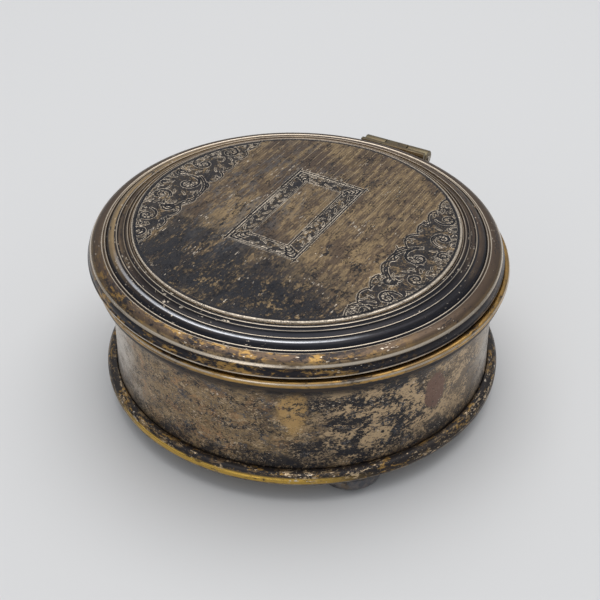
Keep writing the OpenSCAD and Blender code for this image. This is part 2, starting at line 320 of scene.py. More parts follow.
def rim_outline(s):
    """Section of the lid's outer moulding: a plain lip under an ovolo."""
    q = s.quirk
    wide, high = s.lid_rim_w - 2 * q, s.lid_rim_h - s.lip_h - q
    joint_z = s.lid_rim_h - q - s.joint_h
    inner = s.lid_r - s.lip_w
    ovolo = [(s.step_r + q + wide * math.cos(math.radians(9 * i)),
              s.lip_h + q + high * math.sin(math.radians(9 * i))) for i in range(11)]
    return ([(inner, 0), (s.lid_r - 0.25, 0), (s.lid_r, 0.25), (s.lid_r, s.lip_h)] + ovolo
            + [(s.step_r, s.lid_rim_h - q), (s.step_r, joint_z), (inner, joint_z - 0.8)])


def step_outline(s):
    """Section of the stepped moulding: reeds and a convex band on a slope."""
    slope = math.degrees(math.atan2(s.step_rise, s.step_w))
    top_z = s.lid_rim_h - s.quirk

    def at(u, v):
        return s.step_r - u * s.step_w, top_z + u * (s.step_rise - s.quirk + 0.05) + v

    def reed(u, v, r):
        return arc(at(u, v), r, slope - 10, slope + 190, 8)

    band = [at(0.13 + 0.03 * i, 0.02 + 0.3 * math.sin(math.pi * i / 10)) for i in range(11)]
    under = s.panel_under - 0.7 * s.step_t
    return ([(s.step_r, top_z - s.joint_h), at(0, 0), at(0.01, 0.05)]
            + reed(0.07, 0.02, 0.19) + band + reed(0.485, 0.03, 0.18)
            + [at(0.545, -0.1), at(0.62, -0.17), at(0.69, -0.1)]
            + reed(0.74, 0, 0.13) + [at(0.8, -0.08)] + reed(0.88, -0.04, 0.17)
            + [at(0.955, -0.12), (s.panel_r + s.panel_gap, s.panel_z - 0.55),
               (s.panel_r + s.panel_gap, s.panel_under),
               (s.panel_r - s.panel_ledge, s.panel_under),
               (s.panel_r - s.panel_ledge, under), (s.panel_r + s.panel_ledge / 2, under)])


def plate_outline(s):
    """Half section of the bottom plate, dished a little underneath by the spinning."""
    edge = 0.15
    dish = [(s.plate_r * i / 10, s.z_plate + 0.12 * (1 - (i / 10) ** 2)) for i in range(9)]
    return (dish + [(s.plate_r - edge, s.z_plate), (s.plate_r, s.z_plate + edge),
                    (s.plate_r, s.z_floor - edge), (s.plate_r - edge, s.z_floor),
                    (0, s.z_floor)])


def pin_outline(s):
    """Half section of the hinge pin along its own axis, with domed ends."""
    half = s.hinge_w / 2 + s.pin_end
    r = s.pin_d / 2
    dome = [(r * math.sin(math.radians(15 * i)), half - 0.2 + 0.2 * math.cos(math.radians(15 * i)))
            for i in range(7)]
    return [(x, -z) for x, z in dome] + dome[::-1]


def even(points, step, closed):
    """The outline with points no further apart than step, and its corners slightly eased."""
    ring = list(points) + ([points[0]] if closed else [])
    out = []
    for (x0, z0), (x1, z1) in zip(ring, ring[1:]):
        n = max(1, math.ceil(math.hypot(x1 - x0, z1 - z0) / step))
        out += [(x0 + (x1 - x0) * i / n, z0 + (z1 - z0) * i / n) for i in range(n)]
    if not closed:
        out.append(points[-1])
    p = np.array(out)
    eased = p.copy()
    before, after = np.roll(p, 1, 0), np.roll(p, -1, 0)
    near = np.minimum(np.hypot(*(p - before).T), np.hypot(*(p - after).T))
    weight = np.where(near < 1.5 * step, 0.22, 0.0)[:, None]
    eased = p * (1 - weight) + weight * (before + after) / 2
    if not closed:
        eased[0], eased[-1] = p[0], p[-1]
    return eased


def crest_marks(p, closed):
    """How far each outline point stands out of, or lies back from, its neighbourhood."""
    reach = 0.4
    steps = np.hypot(*(np.roll(p, -1, 0) - p).T)
    along = np.concatenate([[0], np.cumsum(steps)])
    total = along[-1] if closed else along[-2]
    ring = np.vstack([p, p[:1]])

    def at(s):
        s = np.mod(s, total) if closed else np.clip(s, 0, total)
        return np.stack([np.interp(s, along, ring[:, k]) for k in (0, 1)], 1)

    here = along[:-1]
    ahead, behind = at(here + reach), at(here - reach)
    run = ahead - behind
    outward = np.stack([run[:, 1], -run[:, 0]], 1) / np.maximum(
        np.hypot(*run.T), 1e-6)[:, None]
    area = 0.5 * np.sum(p[:, 0] * np.roll(p[:, 1], -1) - np.roll(p[:, 0], -1) * p[:, 1])
    bulge = np.sum((p - (ahead + behind) / 2) * outward, 1) / reach * (1 if area > 0 else -1)
    return np.clip(bulge * 1.5, 0, 1), np.clip(-bulge * 1.5, 0, 1)


# ---------------------------------------------------------------- turned pieces

class Net:
    """Short calls that add nodes to one tree and join them."""

    def __init__(self, tree):
        self.tree = tree

    def put(self, socket, value):
        """Links a socket, or sets its value."""
        if isinstance(value, bpy.types.NodeSocket):
            self.tree.links.new(value, socket)
        elif value is not None:
            socket.default_value = value

    def node(self, kind, values=(), **options):
        """Adds a node with its options and its inputs."""
        made = self.tree.nodes.new(kind)
        for key, value in options.items():
            setattr(made, key, value)
        for key, value in dict(values).items():
            self.put(made.inputs[key], value)
        return made

    def math(self, operation, a, b=None):
        """Arithmetic on numbers."""
        values = {0: a} if b is None else {0: a, 1: b}
        return self.node("ShaderNodeMath", values, operation=operation).outputs[0]

    def vmath(self, operation, a, b=None):
        """Arithmetic on vectors."""
        values = {0: a} if b is None else {0: a, 1: b}
        made = self.node("ShaderNodeVectorMath", values, operation=operation)
        return made.outputs["Value" if operation in ("LENGTH", "DISTANCE") else "Vector"]

    def blend(self, factor, a, b):
        """A colour between a and b."""
        values = {0: factor, 6: paint(a), 7: paint(b)}
        return self.node("ShaderNodeMix", values, data_type="RGBA").outputs[2]

    def level(self, factor, a, b):
        """A number between a and b."""
        return self.node("ShaderNodeMix", {0: factor, 2: a, 3: b}, data_type="FLOAT").outputs[0]

    def noise(self, vector, scale, detail=4.0, rough=0.55, distortion=0.0):
        """Noise from nought to one."""
        return self.node("ShaderNodeTexNoise", {
            "Vector": vector, "Scale": scale, "Detail": detail, "Roughness": rough,
            "Distortion": distortion}).outputs["Fac"]

    def step(self, value, low, high):
        """Nought below low and one above high, with an eased rise between them."""
        return self.node("ShaderNodeMapRange", {"Value": value, "From Min": low,
                         "From Max": high}, interpolation_type="SMOOTHSTEP").outputs[0]

    def attribute(self, name):
        """A number that the mesh's points carry."""
        return self.node("ShaderNodeAttribute", attribute_name=name).outputs["Fac"]


def paint(colour):
    """A colour as four numbers, or the socket that it already is."""
    if isinstance(colour, bpy.types.NodeSocket) or len(colour) == 4:
        return colour
    return (*colour, 1.0)


def sockets(tree, inputs, outputs):
    """Names a group's inputs and outputs, and returns its two end nodes."""
    for name, kind, default in inputs:
        made = tree.interface.new_socket(name, in_out="INPUT", socket_type="NodeSocket" + kind)
        if default is not None:
            made.default_value = default
    for name, kind in outputs:
        tree.interface.new_socket(name, in_out="OUTPUT", socket_type="NodeSocket" + kind)
    return tree.nodes.new("NodeGroupInput"), tree.nodes.new("NodeGroupOutput")


def turning_tree():
    """Geometry nodes that turn an outline round the Z axis, with handmade unevenness."""
    name = "Turned piece"
    if name in bpy.data.node_groups:
        return bpy.data.node_groups[name]
    tree = bpy.data.node_groups.new(name, "GeometryNodeTree")
    start, end = sockets(tree, [
        ("Outline", "Geometry", None), ("Radius", "Float", 0.04), ("Segments", "Int", 400),
        ("Unevenness", "Float", 0.0), ("Seed", "Float", 0.0), ("Material", "Material", None)],
        [("Geometry", "Geometry")])
    net = Net(tree)
    path = net.node("GeometryNodeCurvePrimitiveCircle", {
        "Radius": start.outputs["Radius"], "Resolution": start.outputs["Segments"]})
    outline = net.node("GeometryNodeMeshToCurve", {0: start.outputs["Outline"]})
    sweep = net.node("GeometryNodeCurveToMesh", {
        "Curve": path.outputs["Curve"], "Profile Curve": outline.outputs["Curve"]})
    place = net.node("GeometryNodeInputPosition").outputs[0]
    bumps = net.node("ShaderNodeTexNoise", {
        "Vector": place, "W": start.outputs["Seed"], "Scale": 90.0, "Detail": 2.0},
        noise_dimensions="4D").outputs["Color"]
    centred = net.vmath("SUBTRACT", bumps, (0.5, 0.5, 0.5))
    scaled = net.node("ShaderNodeVectorMath", {0: centred, "Scale": start.outputs["Unevenness"]},
                      operation="SCALE").outputs["Vector"]
    moved = net.node("GeometryNodeSetPosition", {
        "Geometry": sweep.outputs["Mesh"], "Offset": scaled})
    smooth = net.node("GeometryNodeSetShadeSmooth", {"Geometry": moved.outputs[0]})
    real = net.node("GeometryNodeRealizeInstances", {0: smooth.outputs[0]})
    coated = net.node("GeometryNodeSetMaterial", {
        "Geometry": real.outputs[0], "Material": start.outputs["Material"]})
    tree.links.new(coated.outputs[0], end.inputs[0])
    return tree


def set_inputs(modifier, values):
    """Sets a node modifier's inputs by the identifiers of their sockets."""
    for item in modifier.node_group.interface.items_tree:
        if item.item_type == "SOCKET" and item.in_out == "INPUT" and item.name in values:
            modifier[item.identifier] = values[item.name]


def add_object(name, mesh):
    """A new object at the origin, linked to the scene."""
    piece = bpy.data.objects.new(name, mesh)
    bpy.context.scene.collection.objects.link(piece)
    return piece


def plain_mesh(piece):
    """Gives a piece the plain mesh that its modifiers make, and removes them."""
    depsgraph = bpy.context.evaluated_depsgraph_get()
    made = bpy.data.meshes.new_from_object(piece.evaluated_get(depsgraph), depsgraph=depsgraph)
    piece.modifiers.clear()
    piece.data = made
    return piece


def close_and_face_out(mesh):
    """Merges doubled points, drops loose ones and turns every face outwards."""
    work = bmesh.new()
    work.from_mesh(mesh)
    bmesh.ops.remove_doubles(work, verts=work.verts, dist=WELD)
    bmesh.ops.dissolve_degenerate(work, edges=work.edges, dist=WELD)
    loose = [v for v in work.verts if not v.link_faces]
    bmesh.ops.delete(work, geom=loose, context="VERTS")
    bmesh.ops.recalc_face_normals(work, faces=work.faces)
    if work.calc_volume(signed=True) < 0:
        bmesh.ops.reverse_faces(work, faces=work.faces)
    work.to_mesh(mesh)
    work.free()


def turned(name, points, material, closed=True, seed=0.0, place=None, uneven=None, steps=None,
           fine=1.0):
    """A turned piece from its outline in millimetres; fine scales the step across it."""
    s = millimetres(bpy.context.scene.pill_box_shape)
    line = even(points, s.profile_step * fine, closed)
    crest, hollow = crest_marks(line, closed)
    middle = (line[:, 0].max() + line[:, 0].min()) / 2
    spots = [((x - middle) * MM, -z * MM, 0.0) for x, z in line]
    edges = [(i, i + 1) for i in range(len(spots) - 1)] + ([(len(spots) - 1, 0)] if closed else [])
    outline = bpy.data.meshes.new(name)
    outline.from_pydata(spots, edges, [])
    for key, values in (("crest", crest), ("hollow", hollow), ("rise", line[:, 1]),
                        ("reach", line[:, 0])):
        layer = outline.attributes.new(key, "FLOAT", "POINT")
        layer.data.foreach_set("value", values.astype(np.float32))
    piece = add_object(name, outline)
    modifier = piece.modifiers.new("Turning", "NODES")
    modifier.node_group = turning_tree()
    set_inputs(modifier, {
        "Radius": middle * MM,
        "Segments": steps or int(2 * math.pi * line[:, 0].max() / s.ring_step),
        "Unevenness": (s.wobble if uneven is None else uneven) * MM,
        "Seed": seed, "Material": material})
    plain_mesh(piece)
    close_and_face_out(piece.data)
    if place is not None:
        piece.data.transform(place)
    return piece


def points_of(mesh):
    """A mesh's points as rows of three numbers."""
    flat = np.empty(len(mesh.vertices) * 3)
    mesh.vertices.foreach_get("co", flat)
    return flat.reshape(-1, 3)


def file_flat(piece, low, high):
    """Files the flat across the back of a rim that takes a hinge leaf."""
    s = shape()
    spots = points_of(piece.data) / MM
    cut = ((abs(spots[:, 0]) < s.hinge_w / 2 + s.swing_gap) & (spots[:, 1] > s.seat_y)
           & (spots[:, 2] > low) & (spots[:, 2] < high))
    spots[cut, 1] = s.seat_y
    piece.data.vertices.foreach_set("co", (spots * MM).ravel())
    piece.data.update()


def gild_inside(piece, coat, reach):
    """Gilds the faces that look down within a radius, as the inside of the lid is gilt."""
    mesh = piece.data
    s = shape()
    mesh.materials.append(coat)
    count = len(mesh.polygons)
    middles, normals = np.empty(count * 3), np.empty(count * 3)
    mesh.polygons.foreach_get("center", middles)
    mesh.polygons.foreach_get("normal", normals)
    middles, normals = middles.reshape(-1, 3) / MM, normals.reshape(-1, 3)
    out = np.hypot(middles[:, 0] + s.lid_shift, middles[:, 1] + s.lid_forward)
    mesh.polygons.foreach_set("material_index", ((out < reach) & (normals[:, 2] < 0)).astype(int))


def hand_over(piece, body, slot, *nodes):
    """Lets a finished piece ride on its body in place of CAD nodes."""
    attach(piece, body)
    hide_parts(*nodes)
    return piece


# ---------------------------------------------------------------- engraving on the lid

def volute(centre, r_out, r_in, turns, start, sense, n=40):
    """A spiral that winds in from r_out to r_in."""
    return [(centre[0] + r_out * (r_in / r_out) ** (i / n)
             * math.cos(start + sense * 2 * math.pi * turns * i / n),
             centre[1] + r_out * (r_in / r_out) ** (i / n)
             * math.sin(start + sense * 2 * math.pi * turns * i / n)) for i in range(n + 1)]


def bow(start, end, bend, n=10):
    """A shallow curve between two points, bent sideways by bend times its length."""
    sx, sy, ex, ey = *start, *end
    return [(sx + (ex - sx) * t - (ey - sy) * bend * 4 * t * (1 - t),
             sy + (ey - sy) * t + (ex - sx) * bend * 4 * t * (1 - t))
            for t in (i / n for i in range(n + 1))]


def leaf(root, heading, reach, width, bend):
    """A pointed leaf: its closed outline and its vein."""
    tip = (root[0] + reach * math.cos(heading), root[1] + reach * math.sin(heading))
    vein = bow(root, tip, bend)
    outline = []
    for side in (1, -1):
        for i in range(11):
            t = i / 10
            half = side * width * math.sin(math.pi * t ** 0.75) ** 0.8 / 2 if 0 < t < 1 else 0
            j = min(i, 9)
            dx, dy = vein[j + 1][0] - vein[j][0], vein[j + 1][1] - vein[j][1]
            long = math.hypot(dx, dy) or 1
            outline.append((vein[i][0] - dy / long * half, vein[i][1] + dx / long * half))
        if side == 1:
            forward = outline
            outline = []
    return forward + outline[::-1], vein


class Engraving:
    """Everything cut into the panel, in millimetres from the middle of the lid."""

    def __init__(self):
        self.cuts = []
        self.leaves = []
        self.grounds = []

    def cut(self, points, width):
        """Adds an engraved line."""
        self.cuts.append((np.array(points), width))

    def leaf(self, root, heading, reach, width, bend, vein_w):
        """Adds a leaf, with a vein if it has a width."""
        outline, vein = leaf(root, heading, reach, width, bend)
        self.leaves.append(np.array(outline))
        if vein_w:
            self.cut(vein[1:-2], vein_w)

    def mirrored(self, other, sx, sy):
        """Adds another engraving, mirrored across X or Y."""
        flip = np.array([sx, sy])
        self.cuts += [(p * flip, w) for p, w in other.cuts]
        self.leaves += [p * flip for p in other.leaves]
        self.grounds += [p * flip for p in other.grounds]


def spray(work, rng, centre, radius, start, end, count, reach, width, line_w):
    """Leaves that fan out from an arc, as acanthus does from a scroll."""
    for i in range(count):
        turn = start + (end - start) * (i + 0.5) / count
        root = (centre[0] + radius * math.cos(turn), centre[1] + radius * math.sin(turn))
        lean = math.copysign(0.75, end - start)
        size = reach * rng.uniform(0.8, 1.15)
        work.leaf(root, turn + lean, size, width * rng.uniform(0.85, 1.1),
                  0.16 * math.copysign(1, lean), line_w * 0.7)


def side_segment(e, panel_r, rng):
    """Scrollwork of one side of the lid, between the chord and the rim, on +X."""
    work = Engraving()
    border = panel_r - 0.75
    half = math.sqrt(border ** 2 - e.chord_x ** 2)
    lobes = []
    count = 9
    for i in range(count):
        y0, y1 = -half + 2 * half * i / count, -half + 2 * half * (i + 1) / count
        depth = 1.1 + 0.8 * math.sin(math.pi * (i + 0.5) / count) * (0.6 + 0.5 * (i % 2))
        lobes += [(e.chord_x + 0.7 - depth * math.sin(math.pi * t) ** 0.7 * (0.55 + 0.45 * t),
                   y0 + (y1 - y0) * t) for t in (k / 8 for k in range(8))]
    rim = arc((0, 0), border, math.degrees(math.atan2(half, e.chord_x)),
              -math.degrees(math.atan2(half, e.chord_x)), 40)
    work.grounds.append(np.array(lobes + rim))
    work.cut(lobes, e.line_w)
    work.cut(arc((0, 0), border, -46, 46, 60), e.line_w)
    # the great C scroll, drawn with a double line, and the volutes that it holds
    for r in (7.4, 6.9):
        work.cut(arc((28.3, -2.4), r, 118, 248, 26), e.line_w)
    scrolls = [((25.6, 0.4), 3.3, 1), ((28.0, -5.6), 2.3, -1), ((27.0, 8.6), 2.9, -1),
               ((24.9, 15.2), 2.3, 1), ((26.1, -13.2), 2.5, 1), ((24.2, -18.4), 1.6, -1),
               ((29.2, 3.6), 1.4, 1), ((24.0, -8.6), 1.5, -1)]
    for (x, y), r, sense in scrolls:
        start = rng.uniform(0, 6.28)
        work.cut(volute((x, y), r, 0.35, 1.7, start, sense), e.line_w)
        work.cut(volute((x, y), r * 0.86, 0.5, 1.2, start + 0.3, sense, 28), e.line_w * 0.7)
        spray(work, rng, (x, y), r * 1.02, start - 0.4 * sense, start - 3.6 * sense,
              6, 1.25 * r ** 0.4, 0.8, e.line_w)
        spray(work, rng, (x, y), r * 0.25, start + 0.4 * sense, start + 3.4 * sense,
              4, r * 0.55, 0.62, e.line_w)
    for i in range(26):
        y = -half + 2 * half * (i + 0.5) / 26
        x = e.chord_x + 0.4 + rng.uniform(0, 0.8)
        work.leaf((x, y), math.radians(rng.uniform(95, 150) * (1 if i % 2 else -1)),
                  rng.uniform(1.4, 2.4), rng.uniform(0.6, 0.9), 0.2, e.line_w * 0.7)
    for i in range(34):
        a = math.radians(-43 + 86 * (i + 0.5) / 34)
        work.leaf(((border - 0.2) * math.cos(a), (border - 0.2) * math.sin(a)),
                  a + math.pi + rng.uniform(-0.9, 0.9), rng.uniform(1.0, 1.9),
                  rng.uniform(0.5, 0.75), 0.2 * rng.choice((-1, 1)), e.line_w * 0.6)
    return work


def frame_corners(half_x, half_y, off):
    """The corners of an oblong, back to the first."""
    return [(off[0] + sx * half_x, off[1] + sy * half_y)
            for sx, sy in ((-1, -1), (1, -1), (1, 1), (-1, 1), (-1, -1))]


def line_between(a, b, n=30):
    """A straight line in n steps."""
    return [(a[0] + (b[0] - a[0]) * i / n, a[1] + (b[1] - a[1]) * i / n) for i in range(n + 1)]


def centre_frame(e, rng):
    """The empty oblong frame in the middle: a foliate band between ruled lines."""
    work = Engraving()
    off = (-e.frame_off_x, e.frame_off_y)
    hx, hy, band = e.frame_x / 2, e.frame_y / 2, e.frame_band
    outer = frame_corners(hx, hy, off)
    inner = frame_corners(hx - band, hy - band, off)
    ground = outer[:4]
    hole = inner[:4]
    for i in range(4):
        j = (i + 1) % 4
        work.grounds.append(np.array([ground[i], ground[j], hole[j], hole[i]]))
    for ring, overshoot in ((outer, 0.6), (inner, 0.0),
                            (frame_corners(hx - 0.55, hy - 0.55, off), 0.0)):
        for a, b in zip(ring, ring[1:]):
            long = math.hypot(b[0] - a[0], b[1] - a[1])
            dx, dy = (b[0] - a[0]) / long * overshoot, (b[1] - a[1]) / long * overshoot
            work.cut(line_between((a[0] - dx, a[1] - dy), (b[0] + dx, b[1] + dy)),
                     e.line_w * (0.9 if overshoot else 0.7))
    # leaves run along each side of the band and meet in nested chevrons at the corners
    mid = frame_corners(hx - band * 0.56, hy - band * 0.56, off)
    for a, b in zip(mid, mid[1:]):
        long = math.hypot(b[0] - a[0], b[1] - a[1])
        ux, uy = (b[0] - a[0]) / long, (b[1] - a[1]) / long
        heading = math.atan2(uy, ux)
        count = int((long - band) / 1.3)
        for i in range(count):
            along = band * 0.55 + (long - 1.1 * band) * (i + 0.5) / count
            side = 1 if i % 2 else -1
            root = (a[0] + ux * along - uy * side * 0.75, a[1] + uy * along + ux * side * 0.75)
            work.leaf(root, heading - side * rng.uniform(0.25, 0.5), rng.uniform(2.0, 2.6),
                      rng.uniform(0.55, 0.75), 0.14 * side, e.line_w * 0.6)
            work.leaf((root[0] + ux * 0.6, root[1] + uy * 0.6), heading + side * 0.5,
                      rng.uniform(0.9, 1.3), 0.45, -0.2 * side, 0)
    for sx, sy in ((-1, -1), (1, -1), (1, 1), (-1, 1)):
        for k in range(4):
            t = 0.75 + 0.62 * k
            point = (off[0] + sx * (hx - t), off[1] + sy * (hy - t))
            arm = 1.9 - 0.25 * k
            work.cut(bow((point[0] - sx * arm, point[1] - 0.35 * sy), point, 0.12 * sx * sy),
                     e.line_w)
            work.cut(bow(point, (point[0] - 0.35 * sx, point[1] - sy * arm), 0.12 * sx * sy),
                     e.line_w)
    return work


def engraving(s):
    """The whole engraving of the lid."""
    e = millimetres(bpy.context.scene.pill_box_engraving)
    rng = random.Random(e.seed)
    work = Engraving()
    right = side_segment(e, s.panel_r, rng)
    left = side_segment(e, s.panel_r, rng)
    work.mirrored(right, 1, 1)
    work.mirrored(left, -1, 1)
    work.mirrored(centre_frame(e, rng), 1, 1)
    return work


def distance_to_line(points, line):
    """Least distance from each point to a polyline."""
    best = np.full(len(points), 1e9)
    for a, b in zip(line, line[1:]):
        run = b - a
        t = np.clip((points - a) @ run / max(run @ run, 1e-12), 0, 1)
        best = np.minimum(best, np.hypot(*(points - a - t[:, None] * run).T))
    return best


def inside(points, ring):
    """True for each point inside a closed outline."""
    odd = np.zeros(len(points), bool)
    for (ax, ay), (bx, by) in zip(ring, np.roll(ring, -1, 0)):
        if ay == by:
            continue
        crosses = (ay > points[:, 1]) != (by > points[:, 1])
        at = (bx - ax) * (points[:, 1] - ay) / (by - ay) + ax
        odd ^= crosses & (points[:, 0] < at)
    return odd


def near_box(points, shape_points, reach):
    """Indexes of the points within reach of a shape's box."""
    low, high = shape_points.min(0) - reach, shape_points.max(0) + reach
    return np.flatnonzero(np.all((points > low) & (points < high), axis=1))


def measure(points, work):
    """Signed distances in millimetres from each point to the cuts, leaves and grounds."""
    cut = np.full(len(points), FAR)
    for line, width in work.cuts:
        i = near_box(points, line, FAR)
        if len(i):
            cut[i] = np.minimum(cut[i], distance_to_line(points[i], line) - width / 2)
    areas = []
    for rings in (work.leaves, work.grounds):
        field = np.full(len(points), FAR)
        for ring in rings:
            i = near_box(points, ring, FAR)
            if len(i):
                away = distance_to_line(points[i], np.vstack([ring, ring[:1]]))
                field[i] = np.minimum(field[i], np.where(inside(points[i], ring), -away, away))
        areas.append(field)
    return cut, areas[0], areas[1]


def eased(value, low, high):
    """Nought at low and one at high, with an eased rise."""
    t = np.clip((value - low) / (high - low), 0, 1)
    return t * t * (3 - 2 * t)


def disc_grid(n):
    """A square grid of n by n squares bent onto the unit disc without a pole."""
    side = np.linspace(-1, 1, n + 1)
    u, v = (a.ravel() for a in np.meshgrid(side, side))
    r = np.where(abs(u) > abs(v), u, v)
    with np.errstate(divide="ignore", invalid="ignore"):
        turn = np.where(abs(u) > abs(v), np.pi / 4 * v / u, np.pi / 2 - np.pi / 4 * u / v)
    turn = np.where(r == 0, 0, turn)
    points = np.stack([r * np.cos(turn), r * np.sin(turn)], 1)
    i = np.arange((n + 1) ** 2).reshape(n + 1, n + 1)
    squares = np.stack([i[:-1, :-1], i[:-1, 1:], i[1:, 1:], i[1:, :-1]], -1).reshape(-1, 4)
    edge = np.concatenate([i[0, :], i[1:, -1], i[-1, -2::-1], i[-2:0:-1, 0]])
    return points, squares, edge


def panel_mesh(s):
    """The lid's panel, with its engraving cut into a fine grid."""
    e = millimetres(bpy.context.scene.pill_box_engraving)
    grid, squares, edge = disc_grid(s.grid_rings)
    rounding = 0.22
    flat = grid * (s.panel_r - rounding)
    cut, leaf_field, ground = measure(flat, engraving(s))
    radius = np.hypot(*flat.T)
    crown = s.panel_crown * (1 - (radius / s.panel_r) ** 2)
    recess = 1 - eased(ground, -0.18, 0.02)
    raised = (1 - eased(leaf_field, -0.16, 0.06)) * recess
    groove = 1 - eased(cut, -0.12, 0.06)
    stripes = 0.012 * np.cos(2 * np.pi * 3 * flat[:, 0] / e.stripe_pitch)
    wander = 0.02 * np.sin(flat[:, 0] * 0.31 + 1.3) * np.sin(flat[:, 1] * 0.27)
    height = (s.panel_z + crown - e.ground_depth * recess + 0.8 * e.ground_depth * raised
              - e.line_depth * groove + stripes * (1 - recess) + wander)
    top = np.column_stack([flat, height])
    rings = [top]
    faces = [tuple(f) for f in squares]
    outline = flat[edge] / np.hypot(*flat[edge].T)[:, None]
    last = edge
    count = len(top)
    for a in (30, 60, 90):
        r = s.panel_r - rounding + rounding * math.sin(math.radians(a))
        z = s.panel_z - rounding + rounding * math.cos(math.radians(a))
        rings.append(np.column_stack([outline * r, np.full(len(edge), z)]))
        here = np.arange(count, count + len(edge))
        faces += list(zip(last, here, np.roll(here, -1), np.roll(last, -1)))
        last, count = here, count + len(edge)
    for r in (s.panel_r, s.panel_r - s.panel_ledge - 1, s.panel_r / 3):
        rings.append(np.column_stack([outline * r, np.full(len(edge), s.panel_under)]))
        here = np.arange(count, count + len(edge))
        faces += list(zip(last, here, np.roll(here, -1), np.roll(last, -1)))
        last, count = here, count + len(edge)
    rings.append(np.array([[0, 0, s.panel_under]]))
    faces += [(a, count, b) for a, b in zip(last, np.roll(last, -1))]
    points = np.vstack(rings)
    mesh = bpy.data.meshes.new("lid_panel_engraved")
    mesh.from_pydata((points * MM).tolist(), [], faces)
    far = np.full(len(points) - len(top), FAR)
    for key, values in (("cut", cut), ("leaf", leaf_field), ("ground", ground)):
        layer = mesh.attributes.new(key, "FLOAT", "POINT")
        layer.data.foreach_set("value", np.concatenate([values, far]).astype(np.float32))
    close_and_face_out(mesh)
    mesh.shade_smooth()
    mesh.transform(lid_place(s))
    return mesh


# ---------------------------------------------------------------- finishes

def node_group(name, inputs, outputs, build):
    """A shader node group, made once."""
    if name in bpy.data.node_groups:
        return bpy.data.node_groups[name]
    tree = bpy.data.node_groups.new(name, "ShaderNodeTree")
    start, end = sockets(tree, inputs, outputs)
    net = Net(tree)
    for key, value in build(net, start.outputs).items():
        tree.links.new(value, end.inputs[key])
    return tree


def tarnish_group():
    """Ragged patches of tarnish, with pinholes and islands at their edges."""
    def build(net, given):
        spot = net.vmath("MULTIPLY", given["Vector"], given["Stretch"])
        spot = net.vmath("ADD", spot, given["Shift"])
        broad = net.noise(spot, given["Scale"], 6.0, 0.62, 0.6)
        fine = net.noise(spot, net.math("MULTIPLY", given["Scale"], 6.5), 5.0, 0.7, 0.3)
        both = net.level(given["Raggedness"], broad, fine)
        level = net.math("ADD", both, net.math("SUBTRACT", given["Cover"], 0.5))
        low = net.math("SUBTRACT", 0.5, given["Softness"])
        high = net.math("ADD", 0.5, given["Softness"])
        return {"Mask": net.step(level, low, high)}
    return node_group("Tarnish patches", [
        ("Vector", "Vector", None), ("Stretch", "Vector", (1, 1, 1)), ("Shift", "Vector", (0, 0, 0)),
        ("Scale", "Float", 60.0), ("Cover", "Float", 0.5), ("Softness", "Float", 0.03),
        ("Raggedness", "Float", 0.42)], [("Mask", "Float")], build)


def flecks_group():
    """Small bright points where the tarnish is chipped, gathered in clusters."""
    def build(net, given):
        spot = net.vmath("MULTIPLY", given["Vector"], given["Stretch"])
        bend = net.node("ShaderNodeTexNoise", {
            "Vector": spot, "Scale": net.math("MULTIPLY", given["Scale"], 1.4)}).outputs["Color"]
        bend = net.node("ShaderNodeVectorMath", {
            0: bend, "Scale": net.math("DIVIDE", 1.3, given["Scale"])},
            operation="SCALE").outputs["Vector"]
        spot = net.vmath("ADD", spot, bend)
        cells = net.node("ShaderNodeTexVoronoi", {"Vector": spot, "Scale": given["Scale"]})
        where = net.noise(given["Vector"], net.math("MULTIPLY", given["Scale"], 0.09), 3.0, 0.6)
        size = net.math("MULTIPLY", given["Amount"], net.step(where, 0.42, 0.68))
        apart = net.node("ShaderNodeSeparateColor", {0: cells.outputs["Color"]}).outputs[0]
        size = net.math("MULTIPLY", size, net.math("POWER", apart, 2.0))
        return {"Mask": net.step(cells.outputs["Distance"], size, net.math("MULTIPLY", size, 0.6))}
    return node_group("Bright flecks", [
        ("Vector", "Vector", None), ("Stretch", "Vector", (1, 1, 1)), ("Scale", "Float", 1100.0),
        ("Amount", "Float", 0.5)], [("Mask", "Float")], build)


def scratches_group():
    """Fine rubbing scratches that run one way."""
    def build(net, given):
        turned_spot = net.node("ShaderNodeVectorRotate", {
            "Vector": given["Vector"], "Angle": given["Angle"]}, rotation_type="Z_AXIS").outputs[0]
        spot = net.vmath("MULTIPLY", turned_spot, (1.0, 0.07, 1.0))
        lines = net.noise(spot, given["Scale"], 3.0, 0.6, 0.15)
        thin = net.math("ABSOLUTE", net.math("SUBTRACT", lines, 0.5))
        patch = net.step(net.noise(given["Vector"], 130.0, 2.0), 0.42, 0.62)
        line = net.step(thin, net.math("MULTIPLY", given["Amount"], 0.06), 0.0)
        return {"Mask": net.math("MULTIPLY", line, patch)}
    return node_group("Rubbing scratches", [
        ("Vector", "Vector", None), ("Scale", "Float", 900.0), ("Angle", "Float", 0.0),
        ("Amount", "Float", 0.3)], [("Mask", "Float")], build)


def wear_group():
    """Crests rubbed bright and hollows left dark, both broken up by noise."""
    def build(net, given):
        broken = net.noise(given["Vector"], given["Scale"], 4.0, 0.6)
        crest = net.math("ADD", given["Crest"], net.math("MULTIPLY", net.math(
            "SUBTRACT", broken, 0.5), given["Breakup"]))
        hollow = net.math("ADD", given["Hollow"], net.math("MULTIPLY", net.math(
            "SUBTRACT", 0.5, broken), given["Breakup"]))
        return {"Rubbed": net.step(crest, given["Threshold"],
                                   net.math("ADD", given["Threshold"], 0.28)),
                "Sunk": net.step(hollow, 0.18, 0.5)}
    return node_group("Edge wear", [
        ("Vector", "Vector", None), ("Crest", "Float", 0.0), ("Hollow", "Float", 0.0),
        ("Scale", "Float", 260.0), ("Breakup", "Float", 0.8), ("Threshold", "Float", 0.3)],
        [("Rubbed", "Float"), ("Sunk", "Float")], build)


